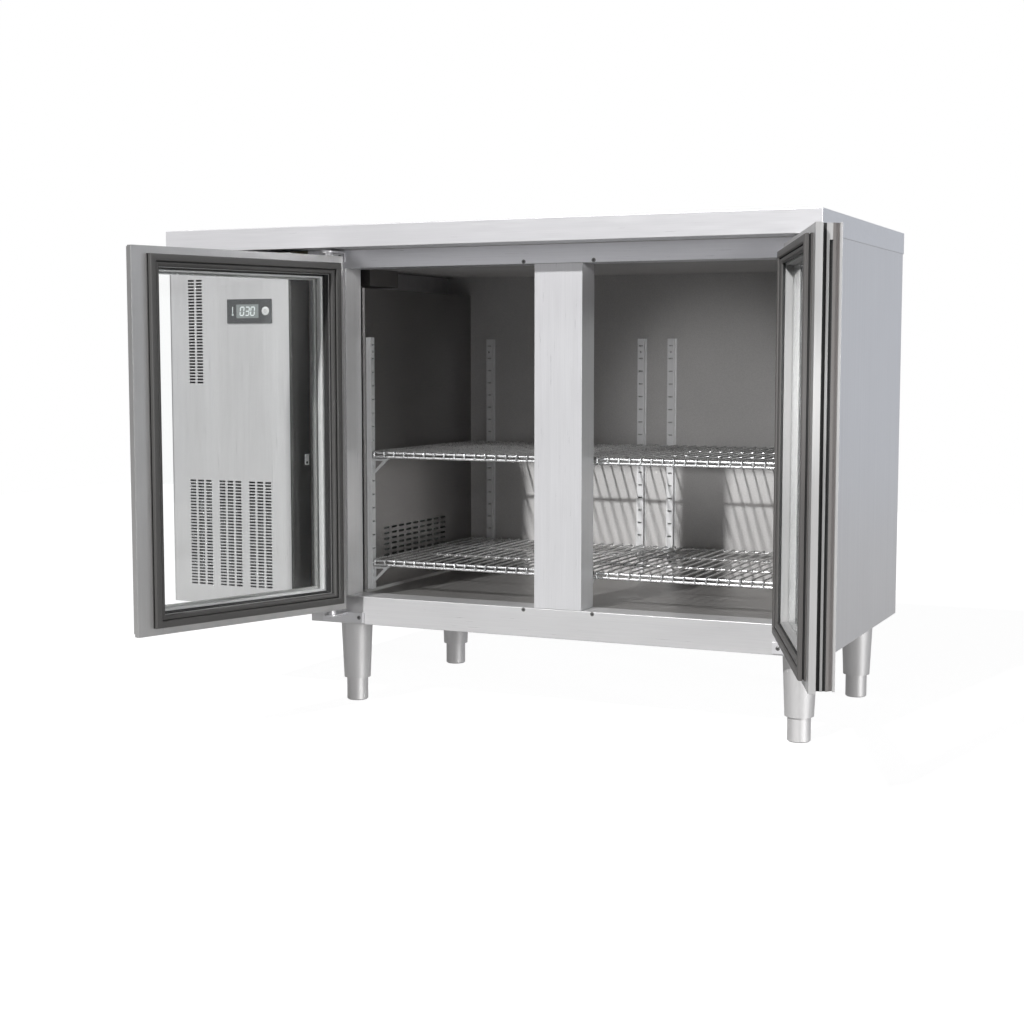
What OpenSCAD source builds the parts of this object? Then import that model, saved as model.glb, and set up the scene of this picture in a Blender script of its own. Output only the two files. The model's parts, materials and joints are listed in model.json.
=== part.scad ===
// Undercounter refrigerator with two hinged glass doors, a machine compartment on the left
// and a stainless worktop. Frame: origin on the floor under the middle of the worktop,
// X to the right, Y to the back, Z up, millimetres.

/* [Cabinet] */
// Width of the worktop
cab_w = 1200; // [1120:10:1400]
// Depth of the worktop
cab_d = 600; // [580:5:700]
// Height of the worktop above the floor
cab_h = 850; // [840:5:900]
// Thickness of the worktop slab
worktop_t = 38; // [30:1:45]
// Thickness of the worktop's folded sheet
worktop_skin = 1.2; // [1:0.1:2]
// Thickness of the body's stainless sheet
sheet = 1; // [0.8:0.1:1.5]
// Set-in of the body's sides under the worktop
side_inset = 0.8; // [0:0.1:2]
// Set-in of the body's back under the worktop
back_inset = 5.5; // [2:0.5:20]

/* [Front frame] */
// Set-back of the frame's face behind the worktop's front edge
front_set = 65; // [62:1:75]
// Height of the top rail
head_h = 32; // [28:1:40]
// Height of the bottom rail
sill_h = 50; // [46:1:70]
// Width of the machine compartment
machine_w = 257; // [250:1:280]
// Width of the stile beside the machine compartment
left_stile_w = 77; // [70:1:90]
// Width of the mullion between the two bays
mullion_w = 86; // [80:1:100]
// Width of the stile at the right side
right_stile_w = 54; // [53:1:70]
// Depth of the stiles, rails and mullion
jamb_d = 54; // [45:1:60]

/* [Chamber] */
// Thickness of the insulated back wall
back_wall = 39.5; // [30:0.5:55]
// Thickness of the insulated right wall
right_wall = 50; // [40:1:52]
// Thickness of the insulated wall beside the machine compartment
partition_t = 32; // [26:1:36]
// Height of the ceiling above the door opening
ceiling_gap = 3; // [1:1:8]
// Drop of the chamber floor below the door opening
floor_drop = 2; // [0:1:6]
// Distance of the evaporator cover's face inside the door opening
cover_in = 6; // [2:1:10]
// Distance of the evaporator cover's top edge below the ceiling
cover_gap = 35; // [25:1:60]

/* [Shelves] */
// Height of the lower shelf above the chamber floor
shelf_low = 63; // [50:1:90]
// Distance from the lower shelf to the upper one
shelf_step = 196; // [147:24.5:245]
// Radius of the shelf wires
wire_r = 1.6; // [1.2:0.1:2]
// Radius of the shelf rods
rod_r = 2.5; // [2:0.1:3]
// Spacing of the shelf wires
wire_pitch = 20; // [18:1:26]
// Drop of the shelf's front lip
lip_drop = 12; // [10:1:18]
// Width of a shelf pilaster
pilaster_w = 13; // [11:1:18]
// Depth of a shelf pilaster
pilaster_d = 8; // [6:0.5:9]
// Spacing of the pilaster slots
slot_pitch = 24.5; // [20:0.5:32]
// Height of the pilasters
pilaster_h = 455; // [400:5:480]

/* [Doors] */
// Thickness of a door without its gasket
door_t = 37; // [36:0.5:40]
// Thickness of the door gasket
gasket_t = 11.5; // [9:0.5:13]
// Overlap of a closed door on the frame at its hinge side
lap_hinge = 26.5; // [24:0.5:30]
// Overlap of a closed door on the mullion
lap_free = 40.5; // [36:0.5:42]
// Overlap of a closed door on the top and bottom rails
lap_z = 19; // [16:0.5:20]
// Width of the door's rails and hinge stile
door_rail_w = 42; // [38:1:50]
// Width of the door's handle stile
handle_w = 58; // [54:1:66]
// Width of the gasket
gasket_w = 20; // [16:1:22]
// Margin between the door's edge and the gasket
gasket_margin = 12; // [10:1:14]
// Distance of the hinge axis from the door's hinge edge
pivot_in = 13; // [11:0.5:15]
// Distance of the hinge axis from the door's outer face
pivot_face = 12.4; // [10:0.2:14]
// Opening angle of the left door as it stands
left_open = 109.5; // [60:0.5:120]
// Opening angle of the right door as it stands
right_open = 110.8; // [60:0.2:120]
// Radius of the hinge pins
pin_r = 4; // [3:0.5:5]

/* [Machine compartment] */
// Set-back of the control panel's face behind the worktop's front edge
panel_set = 4; // [2:1:10]
// Height of the control panel's lower edge above the body's base
panel_lift = 30; // [20:1:40]
// Gap between the control panel and the worktop
panel_gap = 6; // [3:1:12]
// Outer bend radius of the control panel
panel_bend = 6; // [4:0.5:8]
// Width of a vent slot
vent_w = 12.4; // [10:0.2:14]
// Height of a vent slot
vent_h = 3.2; // [2:0.2:3.6]
// Radius of the compressor's shell
compressor_r = 68; // [60:1:74]
// Height of the compressor's shell
compressor_h = 156; // [140:1:180]
// Radius of the condenser fan's blades
condenser_fan_r = 86; // [70:1:92]
// Radius of the evaporator fan's blades
evaporator_fan_r = 50; // [40:1:54]
// Radius of the fan shafts
shaft_r = 3; // [2.5:0.5:4]

/* [Controller] */
// Width of the controller's front
bezel_w = 92; // [88:1:100]
// Height of the controller's front
bezel_h = 42.6; // [40:0.2:48]
// Radius of the set button
button_r = 7.6; // [6:0.2:8.5]
// Travel of the set button
button_travel = 1.5; // [1:0.1:2]

/* [Legs] */
// Height of the body's base above the floor
leg_h = 150; // [142:1:160]
// Radius of a leg at its top
leg_top_r = 28.8; // [27:0.2:32]
// Radius of a leg at its lower end
leg_low_r = 24; // [23:0.2:26]
// Wall of a leg
leg_wall = 2; // [1.5:0.1:2.5]
// Height of a leg's lower end above the floor
foot_show = 42; // [36:1:46]
// Radius of a levelling foot
foot_r = 19.2; // [17:0.2:20]
// Radius of a levelling foot's threaded stem
stem_r = 8; // [6:0.5:9]
// Distance of the legs from the chamber's sides
leg_side = 58; // [50:1:70]
// Distance of the front legs behind the frame's face
leg_front = 64; // [58:1:75]
// Distance of the back legs from the body's back
leg_back = 61; // [50:1:75]

/* [Hidden] */
$fn = 48;
// Overshoot of a cut through a face
cut = 1;
// Clearance of a part that turns or slides in another
run = 0.05;
// Clearance of a part that is set in place
seat = 0.3;

// Body corners
x_l = -cab_w / 2;
x_r = cab_w / 2;
y_f = -cab_d / 2;
y_b = cab_d / 2 - back_inset;
side_l = x_l + side_inset;
side_r = x_r - side_inset;
z_base = leg_h;
z_top = cab_h - worktop_t;

// Front frame lines
face_y = y_f + front_set;
jamb_y = face_y + jamb_d;
machine_x = x_l + machine_w;
bay_w = (cab_w - machine_w - left_stile_w - mullion_w - right_stile_w) / 2;
open_l = machine_x + left_stile_w;
mull_l = open_l + bay_w;
mull_r = mull_l + mullion_w;
open_r = mull_r + bay_w;
mid_x = (mull_l + mull_r) / 2;
sill_z = z_base + sill_h;
head_z = z_top - head_h;
frame_r = side_r - sheet;

// Chamber lines
part_x = machine_x + partition_t;
liner_x = side_r - right_wall;
chamber_b = y_b - back_wall;
floor_z = sill_z - floor_drop;
ceil_z = head_z + ceiling_gap;
cover_x = open_l + cover_in;
cover_set = 3;
cover_lift = 6;
cover_y = jamb_y + cover_set;
cover_z = floor_z + cover_lift;
cover_top = ceil_z - cover_gap;

// Machine compartment lines
panel_y = y_f + panel_set;
panel_z = z_base + panel_lift;
panel_top = z_top - panel_gap;
machine_l = side_l + sheet;
machine_b = y_b - sheet;
tray_z = panel_z + sheet;
machine_mid = (machine_l + machine_x) / 2;

// Door lines, closed
bay_h = head_z - sill_z;
door_w = bay_w + lap_hinge + lap_free;
door_h = bay_h + 2 * lap_z;
door_z = sill_z - lap_z;
gasket_gap = 0.5;
door_y = face_y - gasket_gap - gasket_t - door_t;
pivot_y = door_y + pivot_face;
pivot_l = open_l - lap_hinge + pivot_in;

// Door sections
glass_front = 6;
pane_t = 4;
glass_t = 20;
glass_hold = 8;
glass_play = 1;
spacer_w = 8;
bead_show = 1;
free_margin = 16;
gasket_free = gasket_margin + free_margin;
bead_w = gasket_margin + gasket_w + bead_show;
bead_free = gasket_free + gasket_w + bead_show;
seat_w = bead_w - glass_hold;
seat_free = bead_free - glass_hold;
glass_back = glass_front + glass_t;
glass_at = seat_w + glass_play;
glass_w = door_w - seat_free - glass_play - glass_at;
glass_h = door_h - 2 * glass_at;
strip_t = 9.8;
lip_set = 16;
groove_deep = 28;
groove_in = 6.9;
rib_w = 3.5;
rib_set = 18;
groove_out = 4.6;
ramp_high = 18;
ramp_low = 25;
lip_t = 3.5;
end_cap = 22;
pin_len = 22;

// Hinge brackets
hinge_t = 3;
hinge_plate_h = 18;
hinge_out = 38;
low_inner = 46;
ledge_t = 4;
ledge_nose = 13;
collar_r = 8;
hinge_edge = 3;
low_ledge = z_base + hinge_edge + hinge_plate_h;
high_ledge = z_top - hinge_edge - ledge_t;
low_screws = [-22, 36.5];
high_screws = [-30, 4];

// Legs
leg_xs = [machine_x + leg_side, x_r - leg_side];
leg_ys = [face_y + leg_front, y_b - leg_back];
nut_low = 70;
nut_high = 95;
leg_cap = 4;
stud_r = 6;
stud_len = 14;
foot_in = 6;
foot_top = foot_show + foot_in;
stem_top = 122;
foot_edge = 2;

// Shelves
shelf_set = 11;
shelf_play = 2;
shelf_front = jamb_y + shelf_set;
shelf_back = chamber_b - pilaster_d - shelf_play;
weld = 0.6;
lip_bend = 4;
shelf_gap = 3;
shelf_zs = [floor_z + shelf_low, floor_z + shelf_low + shelf_step];
shelf_ends = [
    [cover_x + pilaster_d + shelf_play, mid_x - shelf_gap],
    [mid_x + shelf_gap, liner_x - pilaster_d - shelf_play]
];
rod_drop = 2 * wire_r + rod_r - weld;
shelf_under = rod_drop + rod_r;
lip_under = lip_drop + rod_r;

// Pilasters: place, turn about Z and whether it carries a shelf's front lip.
// The channel stands out along -Y before it is turned.
pilaster_lift = 7;
side_post = 16;
pilaster_z = floor_z + pilaster_lift;
side_post_y = jamb_y + side_post;
centre_post = 30.5;
end_post = 45.5;
posts = [
    [[cover_x + end_post, chamber_b], 0, false],
    [[mid_x - centre_post, chamber_b], 0, false],
    [[mid_x + centre_post, chamber_b], 0, false],
    [[liner_x - end_post, chamber_b], 0, false],
    [[cover_x, side_post_y], 90, true],
    [[mid_x - centre_post, jamb_y], 180, true],
    [[mid_x + centre_post, jamb_y], 180, true],
    [[liner_x, side_post_y], -90, true]
];
post_flange = 3;
post_slot_w = 8;
post_slot_h = 2.6;
slot_from = 13.5;
clip_reach = 30;
clip_t = 2;
clip_tab = 12;
clip_rim = 4;

// Evaporator, in the space behind its cover
evap_gap = 6;
evap_end = 30;
evap_lift = 50;
evap_drop = 174;
evap_r = cover_x - sheet - evap_gap;
evap_mid = (part_x + evap_r) / 2;
evap_y0 = cover_y + evap_end;
evap_y1 = chamber_b - evap_end;
evap_z0 = cover_z + evap_lift;
evap_z1 = cover_top - evap_drop;
fin_t = 0.6;
end_plate = 1.2;
tube_r = 5;
evap_rows = 10;
evap_fins = 20;
evap_motor_t = 18;
evap_motor_r = 22;
evap_hub_t = 18;
evap_hub_r = 16;
fan_gap = 2;
fan_blades = 5;
fan_drop = 80;
fan_plate_edge = 5;
blade_t = 2;
blade_root = 2;
blade_pitch = 32;
evap_fan_y = (evap_y0 + evap_y1) / 2;
evap_fan_z = cover_top - fan_drop;
grille_cols = 9;
grille_rows = 6;
grille_pitch = [28.6, 10];
grille_slot = [20, 4];
grille_from = [66, 54];
grille_at = [cover_y, cover_z] + grille_from;
casing_from = 20;
casing_len = 105;
casing_gap = 4;
casing_y = cover_y + casing_from;
casing_z = cover_top + casing_gap;
drip_h = 14;

// Machine compartment pieces
vent_pitch = [16.9, 5.5];
group_pitch = 63;
low_rows = 35;
high_rows = 34;
low_vents = [40.3, 33.5];
high_vents = [42.5, 43.7];
back_vents_z = 100.5;
panel_return = front_set - panel_set;
side_return = 22;
coil_side = 20;
coil_gap = 1;
coil_x = machine_l + coil_side;
coil_w = machine_x - machine_l - 2 * coil_side;
coil_t = 40;
coil_h = 224;
coil_y = face_y + coil_gap;
coil_mid = coil_y + coil_t / 2;
cond_rows = 8;
cond_fins = 26;
coil_top = tray_z + coil_h;
shroud_t = 34;
shroud_y = coil_y + coil_t;
shroud_b = shroud_y + shroud_t;
fan_z = tray_z + coil_h / 2;
tip_gap = 5;
arm_w = 12;
nose_r = 12;
hub_r = 22;
hub_t = 26;
motor_r = 32;
motor_t = 48;
compressor_off = 2;
compressor_back = 118;
compressor_x = machine_mid + compressor_off;
compressor_y = machine_b - compressor_back;
mount_h = 14;
mount_r = 11;
mount_span = [70, 58];
bolt_r = 4;
plate_t = 3;
dome_h = 40;
stub_r = 6;
stub_at = 30;
pipe_r = 4;
elbow_r = 5.5;
pipe_rise = 20;
discharge_rise = 40;
pipe_z = evap_z1 + pipe_rise;
liquid_y = -60;
suction_y = 20;
drier_r = 11;
drier_h = 70;
compressor_z = tray_z + mount_h;
terminal_box = [60, 160, 140];
terminal_drop = 30;
inlet_r = 10;
inlet_len = 20;
inlet_flange = [4, 5];
inlet_from = [36, 40];
inlet_at = [machine_l, panel_z] + inlet_from;
cord_r = 4.2;

// Controller
bezel_t = 2.5;
bezel_side = 172.7;
bezel_drop = 100.6;
bezel_x = x_l + bezel_side;
bezel_z = panel_top - bezel_drop;
housing = [80, 30, 55];
housing_off = 3.5;
housing_x = bezel_x + housing_off;
display = [46.3, 24];
display_off = -3.4;
display_x = bezel_x + display_off;
display_t = 1;
button_off = 34.2;
button_x = bezel_x + button_off;
button_len = 6;
button_proud = 1.2;

// Screws and the panel's catch
screw_r = 3.6;
screw_t = 1.2;
flush_t = 0.35;
mullion_screw = 20;
cover_screw = [12, 16];
catch = [3, 13, 20];
catch_from = [-22, 253];

// A box between its lowest and highest corners
module box(low, high) {
    translate(low) cube(high - low);
}

// A folded sheet member that is open towards the back
module open_back(low, high) {
    difference() {
        box(low, high);
        box(low + [sheet, sheet, sheet], high + [-sheet, cut, -sheet]);
    }
}

// A round bar between two points
module bar(from, to, r) {
    way = to - from;
    reach = norm(way);
    translate(from) rotate([0, acos(way[2] / reach), atan2(way[1], way[0])]) cylinder(h = reach, r = r);
}

// A pipe along a list of points, with a round soldered elbow at each corner
module pipe(points, r) {
    for (i = [0 : len(points) - 2]) bar(points[i], points[i + 1], r);
    for (i = [1 : len(points) - 2]) translate(points[i]) sphere(elbow_r);
}

// A block of vent slots, drawn from its lower left corner
module vents(cols, rows) {
    for (c = [0 : cols - 1], r = [0 : rows - 1])
        translate([c * vent_pitch[0], r * vent_pitch[1]]) square([vent_w, vent_h]);
}

// Cabinet

// A folded slab, closed underneath in front of the frame and open above the body
module worktop() {
    color("lightgray") difference() {
        box([x_l, y_f, z_top], [x_r, -y_f, cab_h]);
        worktop_hollow(z_top - cut);
    }
}

// Space inside the slab, down to a given height above the body
module worktop_hollow(low) {
    high = [x_r - worktop_skin, -y_f - worktop_skin, cab_h - worktop_skin];
    box([x_l + worktop_skin, y_f + worktop_skin, z_top + worktop_skin], high);
    box([x_l + worktop_skin, face_y, low], high);
}

module right_side_panel() {
    color("silver") box([frame_r, face_y, z_base], [side_r, y_b, z_top]);
}

module left_side_panel() {
    color("silver") box([side_l, panel_y + side_return + seat, panel_z], [machine_l, y_b, z_top]);
}

module back_panel() {
    color("silver") box([machine_x, machine_b, z_base], [frame_r, y_b, z_top]);
}

module machine_back_cover() {
    vent_x = (machine_x - machine_l - group_pitch - 2 * vent_pitch[0] - vent_w) / 2;
    color("silver") translate([machine_l, y_b, panel_z]) rotate([90, 0, 0]) linear_extrude(sheet)
        difference() {
            square([machine_x - machine_l, z_top - panel_z]);
            for (g = [0 : 1]) translate([vent_x + g * group_pitch, back_vents_z]) vents(3, low_rows);
            translate([inlet_at[0] - machine_l, inlet_at[1] - panel_z]) circle(inlet_r + run);
        }
}

module base_panel() {
    color("silver") difference() {
        box([machine_x, jamb_y, z_base], [frame_r, machine_b, z_base + sheet]);
        for (x = leg_xs, y = leg_ys)
            translate([x, y, z_base - cut]) cylinder(h = sheet + 2 * cut, r = stud_r + run);
    }
}

module partition() {
    color("silver") difference() {
        box([machine_x, jamb_y, z_base + sheet], [part_x, machine_b, z_top]);
        box([machine_x + sheet, jamb_y + sheet, z_base + 2 * sheet],
            [part_x - sheet, machine_b - sheet, z_top + cut]);
        pipe_holes();
    }
}

// Holes in the partition for the two pipes to the evaporator
module pipe_holes() {
    for (y = [liquid_y, suction_y])
        bar([machine_x - cut, y, pipe_z], [part_x + cut, y, pipe_z], pipe_r + run);
}

module top_rail() {
    color("lightgray") open_back([machine_x, face_y, head_z], [frame_r, jamb_y, z_top]);
}

module bottom_rail() {
    color("lightgray") open_back([machine_x, face_y, z_base], [frame_r, jamb_y, sill_z]);
}

module front_stiles() {
    color("lightgray") for (sides = [[machine_x, open_l], [open_r, frame_r]])
        open_back([sides[0], face_y, sill_z], [sides[1], jamb_y, head_z]);
}

module mullion() {
    color("lightgray") difference() {
        box([mull_l, face_y, sill_z], [mull_r, jamb_y, head_z]);
        box([mull_l + sheet, face_y + sheet, sill_z - cut], [mull_r - sheet, jamb_y - sheet, head_z + cut]);
    }
}

module liner_back() {
    color("gainsboro")
        box([part_x, chamber_b, floor_z - sheet], [liner_x + sheet, chamber_b + sheet, ceil_z]);
}

module liner_right() {
    color("gainsboro") box([liner_x, jamb_y, floor_z], [liner_x + sheet, chamber_b, ceil_z]);
}

module liner_floor() {
    color("gainsboro") box([part_x, jamb_y, floor_z - sheet], [liner_x + sheet, chamber_b, floor_z]);
}

module liner_ceiling() {
    color("gainsboro") box([part_x, jamb_y, ceil_z], [liner_x + sheet, chamber_b + sheet, ceil_z + sheet]);
}

// Foam in the walls, floor, ceiling, partition and worktop
module insulation() {
    foam_z = z_base + sheet;
    color("khaki") {
        difference() {
            union() {
                box([part_x, chamber_b + sheet, foam_z], [frame_r, machine_b, z_top]);
                box([liner_x + sheet, jamb_y, foam_z], [frame_r, machine_b, z_top]);
                box([part_x, jamb_y, foam_z], [frame_r, machine_b, floor_z - sheet]);
            }
            for (x = leg_xs, y = leg_ys)
                translate([x, y, z_base]) cylinder(h = stud_len + cut, r = 2 * stud_r);
        }
        box([part_x, jamb_y, ceil_z + sheet], [liner_x + sheet, chamber_b + sheet, z_top]);
        difference() {
            box([machine_x + sheet, jamb_y + sheet, z_base + 2 * sheet],
                [part_x - sheet, machine_b - sheet, z_top]);
            pipe_holes();
        }
        union() worktop_hollow(z_top);
    }
}

// Evaporator and its fan

module evaporator_cover() {
    color("gainsboro") {
        translate([cover_x - sheet, 0, 0]) rotate([90, 0, 90]) linear_extrude(sheet) difference() {
            translate([cover_y, cover_z]) square([chamber_b - cover_y, cover_top - cover_z]);
            for (c = [0 : grille_cols - 1], r = [0 : grille_rows - 1])
                translate(grille_at + [c * grille_pitch[0], r * grille_pitch[1]]) square(grille_slot);
        }
        box([part_x, cover_y, cover_z], [cover_x, cover_y + sheet, cover_top]);
        box([part_x, casing_y, casing_z], [cover_x, casing_y + casing_len, ceil_z]);
    }
}

// A finned coil: fins across X, tubes along X that turn back at alternate ends, and end and top plates.
// It fills a box of size [length, thickness, height] from its lower corner.
module coil(size, rows, fins) {
    fin_pitch = (size[0] - end_plate) / (fins - 1);
    row_pitch = size[2] / rows;
    union() {
        for (i = [0 : fins - 1])
            translate([i * fin_pitch + (end_plate - fin_t) / 2, 0, 0]) cube([fin_t, size[1], size[2]]);
        for (x = [0, size[0] - end_plate]) translate([x, 0, 0]) cube([end_plate, size[1], size[2]]);
        translate([0, 0, size[2] - end_plate]) cube([size[0], size[1], end_plate]);
        for (i = [0 : rows - 1]) translate([0, size[1] / 2, (i + 0.5) * row_pitch]) {
            rotate([0, 90, 0]) cylinder(h = size[0], r = tube_r);
            if (i < rows - 1) translate([i % 2 == 0 ? size[0] : 0, 0, row_pitch / 2])
                rotate([90, 0, i % 2 == 0 ? 0 : 180]) rotate(-90)
                    rotate_extrude(angle = 180) translate([row_pitch / 2, 0]) circle(tube_r);
        }
    }
}

module evaporator_coil() {
    color("silver") translate([evap_r, evap_y0, evap_z0]) rotate(90)
        coil([evap_y1 - evap_y0, evap_r - part_x, evap_z1 - evap_z0], evap_rows, evap_fins);
}

// Fan motor with its shaft towards +X and a plate that carries it
module evaporator_fan_motor() {
    plate = 2 * (evaporator_fan_r + fan_plate_edge);
    color("dimgray") translate([part_x, evap_fan_y, evap_fan_z]) {
        translate([0, -plate / 2, -plate / 2]) cube([sheet, plate, plate]);
        rotate([0, 90, 0]) cylinder(h = evap_motor_t, r = evap_motor_r);
        rotate([0, 90, 0]) cylinder(h = evap_motor_t + evap_hub_t + 2 * fan_gap, r = shaft_r);
    }
}

// Hub and blades of an axial fan that turns about Z, with its hub's back face at Z = 0
module rotor(tip_r, core_r, deep) {
    chord = (deep - 2 * blade_t) / sin(blade_pitch);
    turn = 360 / fan_blades;
    difference() {
        union() {
            cylinder(h = deep, r = core_r);
            for (i = [0 : fan_blades - 1]) rotate(i * turn) translate([core_r - blade_root, 0, deep / 2])
                rotate([blade_pitch, 0, 0]) translate([0, -chord / 2, -blade_t / 2])
                    cube([tip_r - core_r + blade_root, chord, blade_t]);
        }
        translate([0, 0, -cut]) cylinder(h = deep + 2 * cut, r = shaft_r + run);
    }
}

module evaporator_fan() {
    color("darkslategray") translate([part_x + evap_motor_t + fan_gap, evap_fan_y, evap_fan_z])
        rotate([0, 90, 0]) rotor(evaporator_fan_r, evap_hub_r, evap_hub_t);
}

module drip_tray() {
    color("gainsboro") difference() {
        box([part_x, cover_y + 2 * sheet, floor_z], [cover_x - sheet, chamber_b, floor_z + drip_h]);
        box([part_x + sheet, cover_y + 3 * sheet, floor_z + sheet],
            [cover_x - 2 * sheet, chamber_b - sheet, floor_z + drip_h + cut]);
    }
}

// Pilasters, clips and shelves

module pilaster() {
    translate([0, 0, pilaster_z]) difference() {
        union() {
            translate([-pilaster_w / 2 - post_flange, -sheet, 0])
                cube([pilaster_w + 2 * post_flange, sheet, pilaster_h]);
            translate([-pilaster_w / 2, -pilaster_d, 0]) cube([pilaster_w, pilaster_d, pilaster_h]);
        }
        translate([-pilaster_w / 2 + sheet, -pilaster_d + sheet, -cut])
            cube([pilaster_w - 2 * sheet, pilaster_d, pilaster_h + 2 * cut]);
        for (z = [pilaster_h - slot_from : -slot_pitch : slot_from])
            translate([-post_slot_w / 2, -pilaster_d - cut, z - post_slot_h / 2])
                cube([post_slot_w, sheet + 2 * cut, post_slot_h]);
    }
}

module pilasters() {
    color("silver") for (p = posts) translate(p[0]) rotate(p[1]) pilaster();
}

// A bent clip: an upright gusset with a three-cornered hole, under a small flat tab
module shelf_clip() {
    hole = clip_reach - clip_rim * (1 + sqrt(2));
    translate([0, -pilaster_d, 0]) {
        translate([-clip_t / 2, 0, 0]) rotate([90, 0, -90]) mirror([0, 0, 1]) linear_extrude(clip_t)
            difference() {
                polygon([[0, 0], [clip_reach, 0], [clip_reach, -clip_t], [0, -clip_reach]]);
                polygon([[clip_rim, -clip_rim], [hole, -clip_rim], [clip_rim, -hole]]);
            }
        translate([-clip_tab / 2, -clip_reach, -clip_t]) cube([clip_tab, clip_reach, clip_t]);
    }
}

module shelf_clips() {
    color("silver") for (p = posts, z = shelf_zs)
        translate([p[0][0], p[0][1], z - (p[2] ? lip_under : shelf_under) - seat]) rotate(p[1]) shelf_clip();
}

// One wire that runs front to back and turns down at the front; its top is at Z = 0
module shelf_wire() {
    translate([0, shelf_front + lip_bend, -wire_r]) rotate([-90, 0, 0])
        cylinder(h = shelf_back - shelf_front - lip_bend, r = wire_r);
    translate([0, shelf_front + lip_bend, -wire_r - lip_bend]) rotate([0, 0, 180]) rotate([90, 0, 90])
        rotate_extrude(angle = 90) translate([lip_bend, 0]) circle(wire_r);
    translate([0, shelf_front, -lip_drop]) cylinder(h = lip_drop - lip_bend - wire_r, r = wire_r);
}

module shelf(bay, level) {
    ends = shelf_ends[bay];
    span = ends[1] - ends[0];
    gaps = round((span - 2 * rod_r) / wire_pitch);
    step = (span - 2 * rod_r) / gaps;
    lip_y = shelf_front + wire_r + rod_r - weld;
    rod_ys = [shelf_front + lip_bend + rod_r, (2 * shelf_front + shelf_back) / 3,
              (shelf_front + 2 * shelf_back) / 3, shelf_back - rod_r];
    color("gainsboro") translate([0, 0, shelf_zs[level]]) union() {
        for (i = [0 : gaps]) translate([ends[0] + rod_r + i * step, 0, 0]) shelf_wire();
        for (y = rod_ys) bar([ends[0], y, -rod_drop], [ends[1], y, -rod_drop], rod_r);
        bar([ends[0], lip_y, -lip_drop], [ends[1], lip_y, -lip_drop], rod_r);
    }
}

module shelf_left_lower() { shelf(0, 0); }
module shelf_left_upper() { shelf(0, 1); }
module shelf_right_lower() { shelf(1, 0); }
module shelf_right_upper() { shelf(1, 1); }

// Control panel and controller

module control_panel() {
    flat_l = x_l + panel_bend;
    flat_r = machine_x - panel_bend;
    panel_h = panel_top - panel_z;
    high_z = panel_h - high_vents[1] - (high_rows - 1) * vent_pitch[1] - vent_h;
    color("lightgray") union() {
        translate([flat_l, panel_y + sheet, panel_z]) rotate([90, 0, 0]) linear_extrude(sheet) difference() {
            square([flat_r - flat_l, panel_h]);
            for (g = [0 : 2])
                translate([low_vents[0] - panel_bend + g * group_pitch, low_vents[1]]) vents(3, low_rows);
            translate([high_vents[0] - panel_bend, high_z]) vents(2, high_rows);
            translate([housing_x - flat_l - housing[0] / 2, bezel_z - panel_z - housing[1] / 2])
                square([housing[0], housing[1]]);
        }
        translate([0, 0, panel_z]) linear_extrude(panel_h) {
            translate([flat_r, panel_y + panel_bend]) bend(0);
            translate([flat_l, panel_y + panel_bend]) bend(1);
            translate([machine_x - sheet, panel_y + panel_bend]) square([sheet, panel_return - panel_bend]);
            translate([x_l, panel_y + panel_bend]) square([sheet, side_return - panel_bend]);
        }
    }
}

// Quarter ring of a sheet bend: right front corner, or the left one when side is 1
module bend(side) {
    mirror([side, 0]) intersection() {
        difference() {
            circle(panel_bend);
            circle(panel_bend - sheet);
        }
        translate([0, -panel_bend]) square([panel_bend, panel_bend]);
    }
}

module controller() {
    front = panel_y - bezel_t;
    color("dimgray") difference() {
        union() {
            box([bezel_x - bezel_w / 2, front, bezel_z - bezel_h / 2],
                [bezel_x + bezel_w / 2, panel_y, bezel_z + bezel_h / 2]);
            box([housing_x - housing[0] / 2 + seat, panel_y, bezel_z - housing[1] / 2 + seat],
                [housing_x + housing[0] / 2 - seat, panel_y + housing[2], bezel_z + housing[1] / 2 - seat]);
        }
        box([display_x - display[0] / 2, front - cut, bezel_z - display[1] / 2],
            [display_x + display[0] / 2, front + display_t, bezel_z + display[1] / 2]);
        translate([button_x, front - cut, bezel_z]) rotate([-90, 0, 0])
            cylinder(h = cut + button_len - button_proud + button_travel + seat, r = button_r + run);
    }
}

module controller_display() {
    front = panel_y - bezel_t;
    color("black") box([display_x - display[0] / 2, front, bezel_z - display[1] / 2],
        [display_x + display[0] / 2, front + display_t, bezel_z + display[1] / 2]);
}

module set_button() {
    color("lightgray") translate([button_x, panel_y - bezel_t - button_proud, bezel_z]) rotate([-90, 0, 0])
        cylinder(h = button_len, r = button_r);
}

// Refrigeration machine

module condenser_coil() {
    color("silver") translate([coil_x, coil_y, tray_z]) coil([coil_w, coil_t, coil_h], cond_rows, cond_fins);
}

// Fan shroud: a rim against the coil, and a back plate whose three arms carry the motor
module condenser_shroud() {
    hole_r = condenser_fan_r + tip_gap;
    color("dimgray") {
        difference() {
            box([coil_x, shroud_y, tray_z], [coil_x + coil_w, shroud_b - sheet, coil_top]);
            box([coil_x + sheet, shroud_y - cut, tray_z + sheet],
                [coil_x + coil_w - sheet, shroud_b, coil_top - sheet]);
        }
        translate([machine_mid, shroud_b, fan_z]) rotate([90, 0, 0]) linear_extrude(sheet) difference() {
            union() {
                difference() {
                    square([coil_w, coil_h], center = true);
                    circle(hole_r);
                }
                for (a = [90, 210, 330]) rotate(a) translate([0, -arm_w / 2]) square([hole_r + cut, arm_w]);
                circle(motor_r);
            }
            circle(nose_r);
        }
    }
}

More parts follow.
